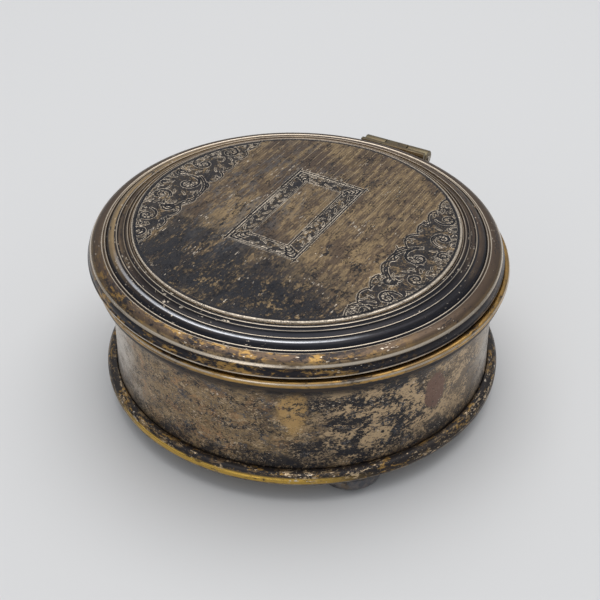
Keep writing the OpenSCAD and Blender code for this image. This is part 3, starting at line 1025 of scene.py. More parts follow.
def zone_group():
    """One place on a piece, as a soft ball with a broken edge."""
    def build(net, given):
        away = net.vmath("DIVIDE", net.vmath("SUBTRACT", given["Vector"], given["Centre"]),
                         given["Size"])
        broken = net.noise(given["Vector"], given["Scale"], 5.0, 0.62, 0.4)
        spread = net.math("ADD", net.vmath("LENGTH", away), net.math(
            "MULTIPLY", net.math("SUBTRACT", broken, 0.5), given["Breakup"]))
        return {"Mask": net.step(spread, net.math("ADD", 1.0, given["Softness"]),
                                 net.math("SUBTRACT", 1.0, given["Softness"]))}
    return node_group("Place", [
        ("Vector", "Vector", None), ("Centre", "Vector", (0, 0, 0)),
        ("Size", "Vector", (0.01, 0.01, 0.01)), ("Softness", "Float", 0.4),
        ("Breakup", "Float", 1.2), ("Scale", "Float", 150.0)], [("Mask", "Float")], build)


class Plate:
    """One worn plated finish: layers of tarnish are laid on, and the last call joins it up."""

    def __init__(self, name, base, metallic=0.9, roughness=0.34, ring_r=None):
        self.colours = millimetres(bpy.context.scene.pill_box_finish)
        self.material = bpy.data.materials.new(name)
        self.material.use_nodes = True
        self.tree = self.material.node_tree
        self.net = Net(self.tree)
        self.shader = self.tree.nodes["Principled BSDF"]
        self.here = self.net.node("ShaderNodeTexCoord").outputs["Object"]
        self.spot = self.round_the_axis(ring_r) if ring_r else self.here
        self.colour = paint(self.pick(base))
        self.metallic = metallic
        self.roughness = roughness
        self.height = 0.0

    def round_the_axis(self, ring_r):
        """Coordinates that follow a ring, drawn out along it as lathe work wears."""
        x, y, z = self.net.node("ShaderNodeSeparateXYZ", {0: self.here}).outputs
        turn = self.net.math("ARCTAN2", x, self.net.math("MULTIPLY", y, -1.0))
        out = self.net.vmath("LENGTH", self.net.vmath("MULTIPLY", self.here, (1.0, 1.0, 0.0)))
        return self.net.node("ShaderNodeCombineXYZ", {
            0: self.net.math("MULTIPLY", turn, 0.4 * ring_r * MM), 1: out, 2: z}).outputs[0]

    def pick(self, colour):
        """A colour by its name in the sidebar, or as it is."""
        return getattr(self.colours, colour) if isinstance(colour, str) else colour

    def group(self, tree, **values):
        """Places a node group with its own values."""
        made = self.net.node("ShaderNodeGroup", node_tree=tree)
        for key, value in values.items():
            self.net.put(made.inputs[key], value)
        return made.outputs

    def patches(self, scale, cover, softness=0.03, stretch=EVEN, shift=(0, 0, 0),
                ragged=0.42):
        """Ragged patches; cover near 0.5 fills half of the piece."""
        return self.group(tarnish_group(), Vector=self.spot, Scale=scale, Cover=cover,
                          Softness=softness, Stretch=stretch, Shift=shift,
                          Raggedness=ragged)["Mask"]

    def flecks(self, scale, amount, stretch=EVEN):
        """Small bright points, in clusters."""
        return self.group(flecks_group(), Vector=self.spot, Scale=scale, Amount=amount,
                          Stretch=stretch)["Mask"]

    def scratches(self, scale, amount, angle=0.0):
        """Fine scratches that run one way."""
        return self.group(scratches_group(), Vector=self.spot, Scale=scale, Amount=amount,
                          Angle=angle)["Mask"]

    def place(self, centre_mm, size_mm, softness=0.4, breakup=1.2, scale=150.0):
        """One soft-edged place on the piece."""
        return self.group(zone_group(), Vector=self.here,
                          Centre=tuple(c * MM for c in centre_mm),
                          Size=tuple(c * MM for c in size_mm),
                          Softness=softness, Breakup=breakup, Scale=scale)["Mask"]

    def between(self, name, low, high, soft=0.1):
        """One where the named height or radius, in millimetres, lies between two values."""
        value = self.net.attribute(name)
        return self.times(self.net.step(value, low - soft, low + soft),
                          self.net.step(value, high + soft, high - soft))

    def wear(self, threshold=0.3, breakup=0.8, scale=260.0):
        """The rubbed crests and the sunk hollows."""
        made = self.group(wear_group(), Vector=self.spot, Crest=self.net.attribute("crest"),
                          Hollow=self.net.attribute("hollow"), Threshold=threshold,
                          Breakup=breakup, Scale=scale)
        return made["Rubbed"], made["Sunk"]

    def lay(self, mask, colour, metallic, roughness, lift=0.0, strength=1.0):
        """Lays a film of one colour over what is there, where the mask says."""
        if strength != 1.0:
            mask = self.net.math("MULTIPLY", mask, strength)
        self.colour = self.net.blend(mask, self.colour, paint(self.pick(colour)))
        self.metallic = self.net.level(mask, self.metallic, metallic)
        self.roughness = self.net.level(mask, self.roughness, roughness)
        if lift:
            self.height = self.net.math("ADD", self.height, self.net.math("MULTIPLY", mask, lift))

    def film(self, where, patch, colour, metallic, roughness, lift=0.0, strength=1.0):
        """Lays a film in ragged patches, only where the masks in where let it through."""
        masks = where if isinstance(where, tuple) else (where,)
        self.lay(self.times(*masks, self.patches(*patch)), colour, metallic, roughness, lift,
                 strength)

    def times(self, *masks):
        """The masks multiplied together."""
        total = masks[0]
        for mask in masks[1:]:
            total = self.net.math("MULTIPLY", total, mask)
        return total

    def done(self, bump=0.35, distance=0.00008, grain=0.25):
        """Adds a fine grain, then joins everything to the shader."""
        fine = self.net.noise(self.spot, GRAIN, 3.0, 0.6)
        self.height = self.net.math("ADD", self.height, self.net.math("MULTIPLY", fine, grain))
        shade = self.net.math("ADD", self.roughness, self.net.math(
            "MULTIPLY", self.net.math("SUBTRACT", self.net.noise(self.spot, SHEEN, 4.0), 0.5), 0.22))
        bumped = self.net.node("ShaderNodeBump", {
            "Strength": bump, "Distance": distance, "Height": self.height}).outputs[0]
        for key, value in (("Base Color", self.colour), ("Metallic", self.metallic),
                           ("Roughness", shade), ("Normal", bumped)):
            self.net.put(self.shader.inputs[key], value)
        return self.material


def tone(plate, scale=45.0, stretch=EVEN):
    """The drifting tan, plum and slate tones that all the plated pieces share."""
    plate.film((), (scale, 0.48, 0.12, stretch), "tan", 0.85, 0.36, strength=0.75)
    plate.film((), (scale * 1.7, 0.45, 0.1, stretch, (3, 1, 2)), "plum", 0.75, 0.38, strength=0.75)
    plate.film((), (scale * 0.8, 0.36, 0.12, stretch, (7, 5, 1)), "slate", 0.7, 0.36, strength=0.5)


def grit(plate, dark=0.4, light=0.34, scale=420.0, stretch=EVEN):
    """Fine pitting: black pinholes and worn bright specks, gathered in drifts."""
    plate.film((), (scale, dark, 0.03, stretch, (4, 2, 6), 0.6), "black", 0.5, 0.42, -0.5, 0.92)
    plate.film((), (scale * 1.25, light, 0.02, stretch, (9, 5, 3), 0.62), "cream", 0.95, 0.3, 0.4,
               0.85)


def panel_finish():
    """Engraved panel: streaked brown field, black-grounded scrollwork, worn bright lips."""
    s = shape()
    e = millimetres(bpy.context.scene.pill_box_engraving)
    p = Plate("Engraved panel plate", "brown", 0.8, 0.4)
    net = p.net
    along = (1.0, 0.3, 1.0)
    p.film((), (60.0, 0.52, 0.1, (1.0, 0.45, 1.0)), "tan", 0.85, 0.38, strength=0.85)
    p.film((), (230.0, 0.5, 0.06, along, (1, 2, 3), 0.5), "tan", 0.85, 0.36, strength=0.8)
    p.film((), (190.0, 0.5, 0.05, along, (5, 2, 7), 0.5), "plum", 0.75, 0.4, strength=0.85)
    # engine-turned lines along Y, bright on their crests and dark between
    x = net.node("ShaderNodeSeparateXYZ", {0: p.spot}).outputs[0]
    turns = net.math("MULTIPLY", net.math("ADD", x, s.lid_shift * MM),
                     2 * math.pi / (e.stripe_pitch * MM))
    wave = net.math("COSINE", turns)
    fine = net.math("COSINE", net.math("MULTIPLY", turns, 3.0))
    field = net.step(net.attribute("ground"), 0.0, 0.15)
    back = p.place((4, 30, 36), (34, 26, 20), 0.6, 0.8, 90.0)
    dark_rows = p.times(net.step(fine, 0.2, -0.9), field,
                        p.patches(260.0, 0.5, 0.05, along, (1, 8, 2), 0.5))
    p.lay(dark_rows, "black", 0.5, 0.42, -0.3, 0.4)
    broad_rows = p.times(net.step(wave, 0.1, -0.8), back, field,
                         p.patches(240.0, 0.52, 0.05, along, (1, 8, 8), 0.5))
    p.lay(broad_rows, "plum", 0.6, 0.42, -0.2, 0.7)
    rows = p.times(net.step(wave, 0.93, 0.99), back, field,
                   p.patches(420.0, 0.5, 0.04, (1.0, 0.6, 1.0), (4, 4, 4), 0.6))
    p.lay(rows, "cream", 1.0, 0.3, 0.3, 0.8)
    # thick tarnish, streaked along the lines, heaviest at the front and the left
    heavy = p.place((-10, -22, 36), (28, 12, 20), 0.6, 1.6, 120.0)
    p.film(heavy, (300.0, 0.55, 0.03, along, (9, 1, 4), 0.5), "black", 0.45, 0.42, 0.3, 0.95)
    p.film(heavy, (340.0, 0.42, 0.03, along, (9, 9, 4), 0.5), "tan", 0.85, 0.36, -0.3, 0.9)
    front = p.place((8, -26, 36), (24, 9, 20), 0.6, 1.6, 160.0)
    p.film(front, (300.0, 0.53, 0.03, (1, 0.6, 1), (2, 7, 4), 0.5), "black", 0.45, 0.42, 0.3, 0.95)
    p.film(front, (300.0, 0.42, 0.03, (1, 0.7, 1), (9, 9, 1), 0.5), "tan", 0.85, 0.36, -0.3, 0.9)
    middle = p.place((-13, 4, 36), (13, 20, 20), 0.6, 1.3, 100.0)
    p.film(middle, (280.0, 0.47, 0.04, along, (5, 3, 8), 0.5), "slate", 0.6, 0.42, 0.2, 0.6)
    p.lay(p.times(p.patches(260.0, 0.415, 0.03, along, (6, 6, 1), 0.5), field),
          "black", 0.5, 0.42, 0.2, 0.9)
    # scrollwork: dark ground, brown leaves, cut lines black with bright lips
    ground = net.step(net.attribute("ground"), 0.03, -0.05)
    leaf_mask = p.times(net.step(net.attribute("leaf"), 0.04, -0.06), ground)
    p.film(ground, (260.0, 0.5, 0.06, EVEN, (8, 3, 2), 0.5), "tan", 0.85, 0.38, 0.0, 0.7)
    p.film(ground, (380.0, 0.555, 0.04, EVEN, (8, 8, 2), 0.5), "black", 0.5, 0.42, -0.2, 0.93)
    p.film(ground, (600.0, 0.4, 0.04, EVEN, (8, 1, 2), 0.55), "slate", 0.7, 0.38, 0.2, 0.9)
    p.film(leaf_mask, (380.0, 0.46, 0.05, EVEN, (1, 9, 2), 0.5), "cream", 0.92, 0.34, 0.5, 0.7)
    p.film(leaf_mask, (520.0, 0.42, 0.04, EVEN, (5, 9, 2), 0.5), "slate", 0.7, 0.36, 0.3, 0.85)
    cut = net.attribute("cut")
    lip = p.times(net.step(cut, 0.02, 0.07), net.step(cut, 0.2, 0.12),
                  p.patches(420.0, 0.56, 0.05, shift=(3, 3, 9), ragged=0.55))
    p.lay(lip, "silver", 1.0, 0.26, 0.4, 0.95)
    grit(p, 0.425, 0.36, 520.0, (1.0, 0.55, 1.0))
    p.lay(net.step(cut, 0.05, -0.03), "black", 0.4, 0.45, -0.8, 0.96)
    p.lay(p.flecks(2600.0, 0.6, along), "silver", 1.0, 0.26, 0.4, 0.9)
    # the margin: dark, up to a thin worn edge
    off = net.vmath("LENGTH", net.vmath("MULTIPLY", net.vmath("ADD", p.spot, (
        s.lid_shift * MM, s.lid_forward * MM, 0.0)), (1.0, 1.0, 0.0)))
    edge = s.panel_r * MM
    margin = net.step(off, edge - 0.0011, edge - 0.0008)
    p.film(margin, (260.0, 0.66, 0.05, EVEN, (2, 2, 5), 0.5), "black", 0.5, 0.4, -0.2, 0.85)
    worn = p.times(net.step(off, edge - 0.00042, edge - 0.0003),
                   p.patches(180.0, 0.63, 0.06, shift=(2, 8, 5)))
    p.lay(worn, "silver", 1.0, 0.28, 0.3, 0.9)
    return p.done(0.9, 0.00016)


def step_finish(s):
    """Stepped moulding: dark tarnish, thin rubbed lines, gold-brown towards -X, painted sky
    reflection in front.
    """
    p = Plate("Stepped moulding plate", "plum", 0.8, 0.34, s.step_r)
    tone(p, 60.0)
    band = p.between("reach", s.step_r - 0.43 * s.step_w, s.step_r - 0.13 * s.step_w, 0.15)
    band_sky_reflection = p.between("reach", s.step_r - 0.42 * s.step_w, s.step_r - 0.3 * s.step_w, 0.15)
    left = p.place((-37, -8, 34), (24, 32, 20), 0.5, 1.2, 90.0)
    p.film((left, band), (150.0, 0.68, 0.06), "tan", 0.88, 0.34, strength=0.95)
    outer = p.between("reach", s.step_r - 0.2 * s.step_w, s.step_r - 0.11 * s.step_w, 0.1)
    p.film(outer, (170.0, 0.62, 0.05, EVEN, (5, 7, 7)), "black", 0.6, 0.34, 0.0, 0.92)
    front = p.place((4, -38, 34), (30, 16, 20), 0.5, 1.0, 90.0)
    p.film(front, (170.0, 0.66, 0.05, EVEN, (2, 7, 7)), "black", 0.7, 0.3, 0.1, 0.9)
    right = p.place((28, -20, 34), (32, 26, 20), 0.45, 1.0, 90.0)
    p.film(right, (150.0, 0.74, 0.05, EVEN, (2, 2, 7)), "black", 0.7, 0.3, 0.1, 0.95)
    p.film((), (260.0, 0.42, 0.03, EVEN, (6, 1, 7), 0.5), "black", 0.6, 0.36, 0.2, 0.9)
    grit(p, 0.41, 0.3, 620.0)
    # painted reflection: a blue-white film on the inner half of the band at the front, where it
    # faces up to the sky
    p.film((front, band_sky_reflection), (100.0, 0.66, 0.05, EVEN, (2, 5, 7), 0.5), (0.62, 0.63, 0.67), 1.0,
           0.24, 0.1, 0.92)
    rubbed, sunk = p.wear(0.62, 0.35, 240.0)
    p.lay(sunk, "black", 0.5, 0.4, 0.0, 0.95)
    p.film(rubbed, (200.0, 0.62, 0.06, EVEN, (1, 4, 2)), "silver", 1.0, 0.26, 0.2, 0.85)
    p.lay(p.flecks(2400.0, 0.55), "silver", 1.0, 0.26, 0.4, 0.85)
    return p.done()


def rim_finish(s):
    """Lid's outer moulding: dark brown below, partly painted shade, tan above, a thin painted
    highlight between.
    """
    p = Plate("Lid rim plate", "brown", 0.85, 0.3, s.lid_r)
    tone(p, 55.0)
    # lower face: plum and black tarnish laid heavier here, partly tarnish and partly painted shade
    # where the moulding turns down from the light
    low = p.net.step(p.net.attribute("rise"), 0.66 * s.lid_rim_h, 0.56 * s.lid_rim_h)
    p.film(low, (110.0, 0.64, 0.06, EVEN, (1, 1, 5)), "plum", 0.8, 0.32, strength=0.9)
    p.film(low, (170.0, 0.55, 0.05, EVEN, (4, 1, 5)), "black", 0.7, 0.3, 0.1, 0.92)
    p.film((), (240.0, 0.4, 0.03, EVEN, (5, 1, 5), 0.5), "black", 0.6, 0.36, 0.2, 0.85)
    high = p.net.step(p.net.attribute("rise"), 0.78 * s.lid_rim_h, 0.86 * s.lid_rim_h)
    p.film(high, (150.0, 0.62, 0.05, EVEN, (9, 1, 5)), "plum", 0.8, 0.34, 0.0, 0.85)
    front = p.place((4, -40, 32), (40, 20, 20), 0.5, 1.0, 90.0)
    p.film(front, (200.0, 0.5, 0.03, EVEN, (9, 5, 5), 0.5), "black", 0.6, 0.34, 0.1, 0.9)
    p.film(front, (230.0, 0.47, 0.04, EVEN, (9, 9, 5), 0.5), "gold", 0.9, 0.3, 0.1, 0.75)
    grit(p, 0.41, 0.31, 600.0)
    # painted highlight: a thin, broken silver line along the ovolo's shoulder, standing in for the
    # softbox's reflection
    line = p.between("rise", 0.61 * s.lid_rim_h, 0.72 * s.lid_rim_h, 0.08)
    p.film(line, (150.0, 0.6, 0.06, EVEN, (5, 5, 5)), "silver", 1.0, 0.22, 0.1, 0.95)
    rubbed, sunk = p.wear(0.38, 0.5, 220.0)
    p.lay(sunk, "black", 0.5, 0.4, 0.0, 0.9)
    p.film(rubbed, (130.0, 0.66, 0.06, EVEN, (5, 8, 5)), "silver", 1.0, 0.25, 0.2, 0.9)
    p.lay(p.flecks(2400.0, 0.5), "silver", 1.0, 0.26, 0.4, 0.8)
    return p.done()


def mouth_finish(s):
    """Mouth moulding: an amber bead with a painted highlight line, black below it, partly painted
    shade.
    """
    p = Plate("Mouth moulding plate", "gold", 0.9, 0.28, s.mouth_r)
    p.film((), (110.0, 0.46, 0.08), "brown", 0.85, 0.34, strength=0.8)
    p.film((), (240.0, 0.45, 0.04, EVEN, (2, 8, 1), 0.5), "black", 0.6, 0.34, 0.2, 0.88)
    # black below the bead: partly tarnish in the corner, partly painted shade under the bead
    bead_low = s.z_rim_top - 2 * s.mouth_bead_r
    under = p.net.step(p.net.attribute("rise"), bead_low + 0.35, bead_low + 0.1)
    p.film(under, (160.0, 0.66, 0.06, EVEN, (2, 4, 1)), "black", 0.6, 0.36, 0.1, 0.9)
    grit(p, 0.38, 0.31, 520.0)
    # painted highlight: a thin, broken silver line along the top of the bead
    line = p.between("rise", s.z_rim_top - 0.5, s.z_rim_top - 0.25, 0.08)
    p.film(line, (170.0, 0.56, 0.06, EVEN, (5, 5, 5)), "silver", 1.0, 0.24, 0.1, 0.9)
    _, sunk = p.wear(0.4, 0.5, 260.0)
    p.lay(sunk, "black", 0.5, 0.4, 0.0, 0.9)
    return p.done()


def wall_finish(s):
    """Wall: pearl-grey at the left, mottled brown in front, dark with tan islands at the right."""
    p = Plate("Wall plate", "pearl", 0.9, 0.32)
    net = p.net
    x, y, z = net.node("ShaderNodeSeparateXYZ", {0: p.spot}).outputs
    turn = net.math("ARCTAN2", y, x)
    radius = s.waist_r * MM
    round_spot = net.node("ShaderNodeCombineXYZ", {
        0: net.math("MULTIPLY", turn, radius), 1: 0.0, 2: z}).outputs[0]

    def span(start, end, softness=9.0, scale=90.0, breakup=30.0):
        """A stretch of the wall between two angles, with ragged ends."""
        ragged = net.math("MULTIPLY", net.math(
            "SUBTRACT", net.noise(p.spot, scale, 6.0, 0.7, 0.4), 0.5), math.radians(breakup))
        here = net.math("ADD", turn, ragged)
        soft = math.radians(softness)
        return p.times(net.step(here, math.radians(start) - soft, math.radians(start) + soft),
                       net.step(here, math.radians(end) + soft, math.radians(end) - soft))

    level = (1.0, 1.0, 1.5)
    brown_part = span(-118, 8, 12)
    p.film(brown_part, (110.0, 0.7, 0.09, level), "brown", 0.8, 0.38, 0.1, 0.9)
    p.film(span(-118, -50, 10), (190.0, 0.55, 0.06, level, (2, 4, 4), 0.5), "tan", 0.88, 0.36, 0.1,
           0.85)
    p.film(span(-124, -60, 10), (170.0, 0.45, 0.03, level, (2, 4, 9), 0.5), (0.42, 0.25, 0.13),
           0.9, 0.34, 0.1, 0.85)
    p.film((), (150.0, 0.43, 0.07, level, (3, 3, 3)), "plum", 0.75, 0.38, strength=0.7)
    p.film((), (260.0, 0.43, 0.04, level, (3, 9, 3), 0.5), "brown", 0.8, 0.38, 0.1, 0.8)
    # blue-black blotches, then the dark stretch with its cream and tan islands
    p.film(span(-70, -22, 8), (135.0, 0.56, 0.03, level, (1, 6, 2)), "black", 0.55, 0.36, 0.3,
           0.95)
    p.film(brown_part, (260.0, 0.42, 0.03, level, (8, 6, 2), 0.5), "black", 0.5, 0.38, 0.3, 0.9)
    p.film(span(-112, 20, 10), (330.0, 0.44, 0.03, level, (4, 6, 2), 0.5), "slate", 0.7, 0.36, 0.2,
           0.9)
    p.film(span(-122, -56, 10), (330.0, 0.455, 0.02, level, (4, 1, 7), 0.55), "black", 0.5, 0.38,
           0.2, 0.92)
    p.film(span(-118, -52, 10), (400.0, 0.43, 0.02, level, (7, 1, 7), 0.55), "cream", 0.92, 0.32,
           0.3, 0.85)
    p.film(span(-58, 6, 8), (230.0, 0.48, 0.025, level, (4, 9, 9), 0.5), (0.56, 0.41, 0.25), 0.9,
           0.34, 0.4, 0.95)
    streak = math.radians(-63)
    p.film(p.place((s.waist_r * math.cos(streak), s.waist_r * math.sin(streak), 20.5), (2.4, 2.4, 5.4), 0.3, 1.6, 260.0),
           (190.0, 0.53, 0.03, EVEN, (6, 5, 1), 0.5), (0.56, 0.36, 0.15), 0.92, 0.34, 0.2, 0.85)
    behind = p.place((0, 50, 18), (58, 40, 34), 0.3, 0.6, 90.0)
    p.film(behind, (110.0, 0.66, 0.08, level, (5, 5, 5)), "brown", 0.8, 0.38, 0.1, 0.85)
    p.film(behind, (200.0, 0.52, 0.06, level, (5, 9, 5), 0.5), "tan", 0.88, 0.36, 0.1, 0.85)
    p.film(behind, (260.0, 0.44, 0.03, level, (9, 9, 5), 0.5), "black", 0.5, 0.38, 0.2, 0.9)
    low = net.step(z, (s.z_wall + 5.5) * MM, (s.z_wall + 1.8) * MM)
    high = net.step(z, (s.z_mouth - 3.4) * MM, (s.z_mouth - 1.6) * MM)
    p.film(low, (240.0, 0.5, 0.04, EVEN, (4, 1, 9), 0.5), "black", 0.5, 0.38, 0.2, 0.88)
    p.film((high, span(-130, 20, 12)), (190.0, 0.56, 0.05, EVEN, (2, 1, 9)), "black", 0.5, 0.38,
           0.2, 0.8)
    rust = net.vmath("LENGTH", net.vmath("DIVIDE", net.vmath(
        "SUBTRACT", round_spot, (math.radians(-20.5) * radius, 0.0, 0.0178)),
        (0.0024, 1.0, 0.0038)))
    ragged = net.math("ADD", rust, net.math("MULTIPLY", net.noise(p.spot, 520.0, 6.0, 0.7), 0.8))
    p.lay(net.step(ragged, 1.5, 1.38), "rust", 0.6, 0.42, 0.1, 0.92)
    grit(p, 0.42, 0.375, 480.0, level)
    p.lay(p.flecks(2300.0, 0.6, (1, 1, 1.4)), "silver", 1.0, 0.26, 0.4, 0.85)
    return p.done(0.5)


def base_finish(s):
    """Base moulding: black with cream specks, gold on its edge, a painted amber highlight towards
    the front.
    """
    p = Plate("Base moulding plate", "brown", 0.88, 0.3, s.body_r)
    tone(p, 70.0)
    edge = p.net.step(p.net.attribute("rise"), s.z_base + s.base_edge_h + 0.5,
                      s.z_base + s.base_edge_h + 0.1)
    amber = p.place((4, -40, 5), (27, 14, 20), 0.5, 1.0, 120.0)
    p.film(edge, (200.0, 0.47, 0.04, EVEN, (2, 9, 1), 0.5), "gold", 0.92, 0.3, 0.1, 0.9)
    p.film((), (240.0, 0.55, 0.03, EVEN, (2, 3, 1), 0.5), "black", 0.55, 0.38, 0.2, 0.92)
    p.film((), (420.0, 0.42, 0.02, EVEN, (7, 3, 1), 0.55), "cream", 0.95, 0.28, 0.3, 0.95)
    p.film((), (300.0, 0.43, 0.03, EVEN, (1, 3, 7), 0.5), "gold", 0.92, 0.3, 0.2, 0.85)
    # painted highlight: a brighter amber film on the plain edge at the front
    p.film((edge, amber), (190.0, 0.54, 0.04, EVEN, (2, 9, 6), 0.5), (0.66, 0.42, 0.09), 1.0, 0.26,
           0.1, 0.92)
    lowest = p.net.step(p.net.attribute("rise"), s.z_base + 0.4, s.z_base + 0.15)
    p.film(lowest, (150.0, 0.66, 0.05, EVEN, (6, 9, 6)), "slate", 0.7, 0.36, 0.0, 0.9)
    rubbed, sunk = p.wear(0.4, 0.6, 300.0)
    p.lay(sunk, "black", 0.5, 0.4, 0.0, 0.95)
    p.film(rubbed, (190.0, 0.5, 0.05, EVEN, (2, 9, 9)), "cream", 1.0, 0.28, 0.2, 0.6)
    p.lay(p.flecks(2200.0, 0.62), "silver", 1.0, 0.26, 0.4, 0.9)
    return p.done()


def foot_finish():
    """Feet: dull grey plate with dark pits."""
    p = Plate("Foot plate", (0.17, 0.155, 0.15), 0.9, 0.34)
    p.film((), (180.0, 0.48, 0.05), "slate", 0.75, 0.38, 0.1, 0.85)
    p.film((), (240.0, 0.42, 0.04, EVEN, (3, 1, 1)), "black", 0.55, 0.4, 0.2, 0.85)
    p.film((), (140.0, 0.42, 0.06, EVEN, (8, 1, 1)), "brown", 0.85, 0.36, 0.0, 0.8)
    grit(p, 0.38, 0.31, 500.0)
    return p.done()


def gilt_finish():
    """Worn gilt of the liner, the floor and the inside of the lid, made once."""
    if "Worn gilt" in bpy.data.materials:
        return bpy.data.materials["Worn gilt"]
    p = Plate("Worn gilt", "gilt", 1.0, 0.28)
    p.film((), (70.0, 0.46, 0.14), (0.55, 0.36, 0.14), 1.0, 0.34, 0.0, 0.8)
    p.film((), (120.0, 0.36, 0.05, EVEN, (2, 2, 2)), "pearl", 0.95, 0.3, -0.1, 0.7)
    p.film((), (240.0, 0.34, 0.05, EVEN, (5, 2, 2)), "brown", 0.85, 0.4, 0.1, 0.75)
    p.lay(p.scratches(650.0, 0.5), "pearl", 1.0, 0.3, -0.1, 0.4)
    return p.done(0.3)


def hinge_finish():
    """Hinge leaves: dull brass with brown and black tarnish."""
    p = Plate("Hinge brass", (0.17, 0.145, 0.09), 0.85, 0.4)
    p.film((), (170.0, 0.5, 0.08), "brown", 0.8, 0.42, 0.0, 0.7)
    p.film((), (280.0, 0.42, 0.05, EVEN, (3, 2, 6), 0.5), "black", 0.55, 0.42, 0.2, 0.8)
    p.film((), (420.0, 0.35, 0.03, EVEN, (3, 6, 6), 0.55), "tan", 0.9, 0.34, 0.2, 0.8)
    p.lay(p.scratches(900.0, 0.5, 1.57), "cream", 1.0, 0.3, 0.1, 0.25)
    return p.done()


def pin_finish():
    """Hinge pin: grey wire, rubbed along its length."""
    p = Plate("Hinge pin wire", (0.40, 0.37, 0.32), 1.0, 0.36)
    p.film((), (400.0, 0.46, 0.06), "brown", 0.8, 0.42, 0.1, 0.8)
    p.lay(p.scratches(1200.0, 0.6, 1.57), "silver", 1.0, 0.3, 0.1, 0.5)
    return p.done()


# ---------------------------------------------------------------- operators

class PILLBOX_OT_panel(bpy.types.Operator):
    """Cut the lid's engraved panel"""
    bl_idname = "pillbox.panel"
    bl_label = "Engraved Panel"

    def execute(self, context):
        s = shape()
        piece = add_object("lid_panel_engraved", panel_mesh(s))
        piece.data.materials.append(panel_finish())
        gild_inside(piece, gilt_finish(), s.panel_r)
        hand_over(piece, LID, "lid_panel_plate", "lid_panel")
        return {"FINISHED"}


class PILLBOX_OT_lid_mouldings(bpy.types.Operator):
    """Turn the lid's stepped moulding and its outer moulding"""
    bl_idname = "pillbox.lid_mouldings"
    bl_label = "Lid Mouldings"

    def execute(self, context):
        s = shape()
        place = lid_place(s)
        step = turned("lid_stepped_moulding_turned", step_outline(s), step_finish(s),
                      seed=1.0, place=place, fine=0.6)
        gild_inside(step, gilt_finish(), s.step_r)
        hand_over(step, LID, "lid_step_plate", "lid_stepped_moulding")
        rim = turned("lid_rim_turned", rim_outline(s), rim_finish(s), seed=2.0, place=place)
        file_flat(rim, s.z_rim_top, s.z_rim_top + 3 * s.lid_rim_h)
        hand_over(rim, LID, "lid_moulding_plate", "lid_rim")
        return {"FINISHED"}


class PILLBOX_OT_body(bpy.types.Operator):
    """Spin the wall and turn the mouth and base mouldings"""
    bl_idname = "pillbox.body"
    bl_label = "Wall and Mouldings"

    def execute(self, context):
        s = shape()
        gap = s.swing_gap
        wall = turned("body_wall_spun", wall_outline(s), wall_finish(s), seed=3.0, fine=2.4)
        file_flat(wall, s.z_mouth - 1.5 - gap, s.z_mouth + 1)
        hand_over(wall, BOX, "wall_plate", "body_wall")
        mouth = turned("mouth_moulding_turned", mouth_outline(s), mouth_finish(s), seed=4.0)
        file_flat(mouth, s.z_mouth - 1, s.z_rim_top + 1)
        hand_over(mouth, BOX, "body_moulding_plate", "mouth_moulding")
        base = turned("base_moulding_turned", base_outline(s), base_finish(s), seed=5.0)
        hand_over(base, BOX, "base_moulding_plate", "base_moulding")
        return {"FINISHED"}


class PILLBOX_OT_inside(bpy.types.Operator):
    """Turn the gilt liner and the bottom plate"""
    bl_idname = "pillbox.inside"
    bl_label = "Liner and Bottom"

    def execute(self, context):
        s = shape()
        gilt = gilt_finish()
        liner = turned("gilt_liner_turned", liner_outline(s), gilt, seed=6.0, uneven=0.03,
                       fine=2.4)
        hand_over(liner, BOX, "gilt", "gilt_liner")
        plate = turned("bottom_plate_turned", plate_outline(s), gilt, closed=False, seed=7.0,
                       uneven=0.03, steps=240, fine=2.4)
        hand_over(plate, BOX, "gilt", "bottom_plate")
        return {"FINISHED"}


class PILLBOX_OT_feet(bpy.types.Operator):
    """Turn the four bun feet"""
    bl_idname = "pillbox.feet"
    bl_label = "Bun Feet"

    def execute(self, context):
        s = shape()
        coat = foot_finish()
        for node, turn in (("foot_front_right", -45), ("foot_back_right", 45),
                           ("foot_back_left", 135), ("foot_front_left", -135)):
            spot = Vector((math.cos(math.radians(turn)), math.sin(math.radians(turn)), 0))
            foot = turned(node + "_turned", foot_outline(s), coat, closed=False,
                          seed=10.0 + turn, steps=96,
                          place=Matrix.Translation(spot * s.foot_ring_r * MM))
            spots = points_of(foot.data)
            spots[:, 2] = np.clip(spots[:, 2], 0, s.foot_h * MM)
            foot.data.vertices.foreach_set("co", spots.ravel())
            hand_over(foot, BOX, "foot_plate", node)
        return {"FINISHED"}


class PILLBOX_OT_hinge(bpy.types.Operator):
    """Finish the hinge leaves and the pin"""
    bl_idname = "pillbox.hinge"
    bl_label = "Hinge"

    def execute(self, context):
        s = shape()
        coat = hinge_finish()
        for node, body in (("body_hinge_leaf", BOX), ("lid_hinge_leaf", LID)):
            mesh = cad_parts[node].data.copy()
            work = bmesh.new()
            work.from_mesh(mesh)
            bmesh.ops.remove_doubles(work, verts=work.verts, dist=WELD)
            bmesh.ops.dissolve_limit(work, angle_limit=math.radians(1), verts=work.verts,
                                     edges=work.edges)
            work.to_mesh(mesh)
            work.free()
            mesh.materials.clear()
            mesh.materials.append(coat)
            piece = add_object(node + "_eased", mesh)
            ease = piece.modifiers.new("Eased edges", "BEVEL")
            ease.width = EASED_EDGE * MM
            ease.segments = 3
            ease.limit_method = "ANGLE"
            ease.angle_limit = math.radians(40)
            plain_mesh(piece)
            piece.data.shade_smooth()
            piece.data.set_sharp_from_angle(angle=math.radians(50))
            hand_over(piece, body, "hinge_brass", node)
        low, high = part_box("hinge_pin")
        middle = (low + high) / 2
        place = Matrix.Translation(middle) @ Matrix.Rotation(math.radians(90), 4, "Y")
        pin = turned("hinge_pin_domed", pin_outline(s), pin_finish(), closed=False, seed=9.0,
                     uneven=0.0, steps=48, place=place)
        hand_over(pin, BOX, "hinge_pin_steel", "hinge_pin")
        return {"FINISHED"}


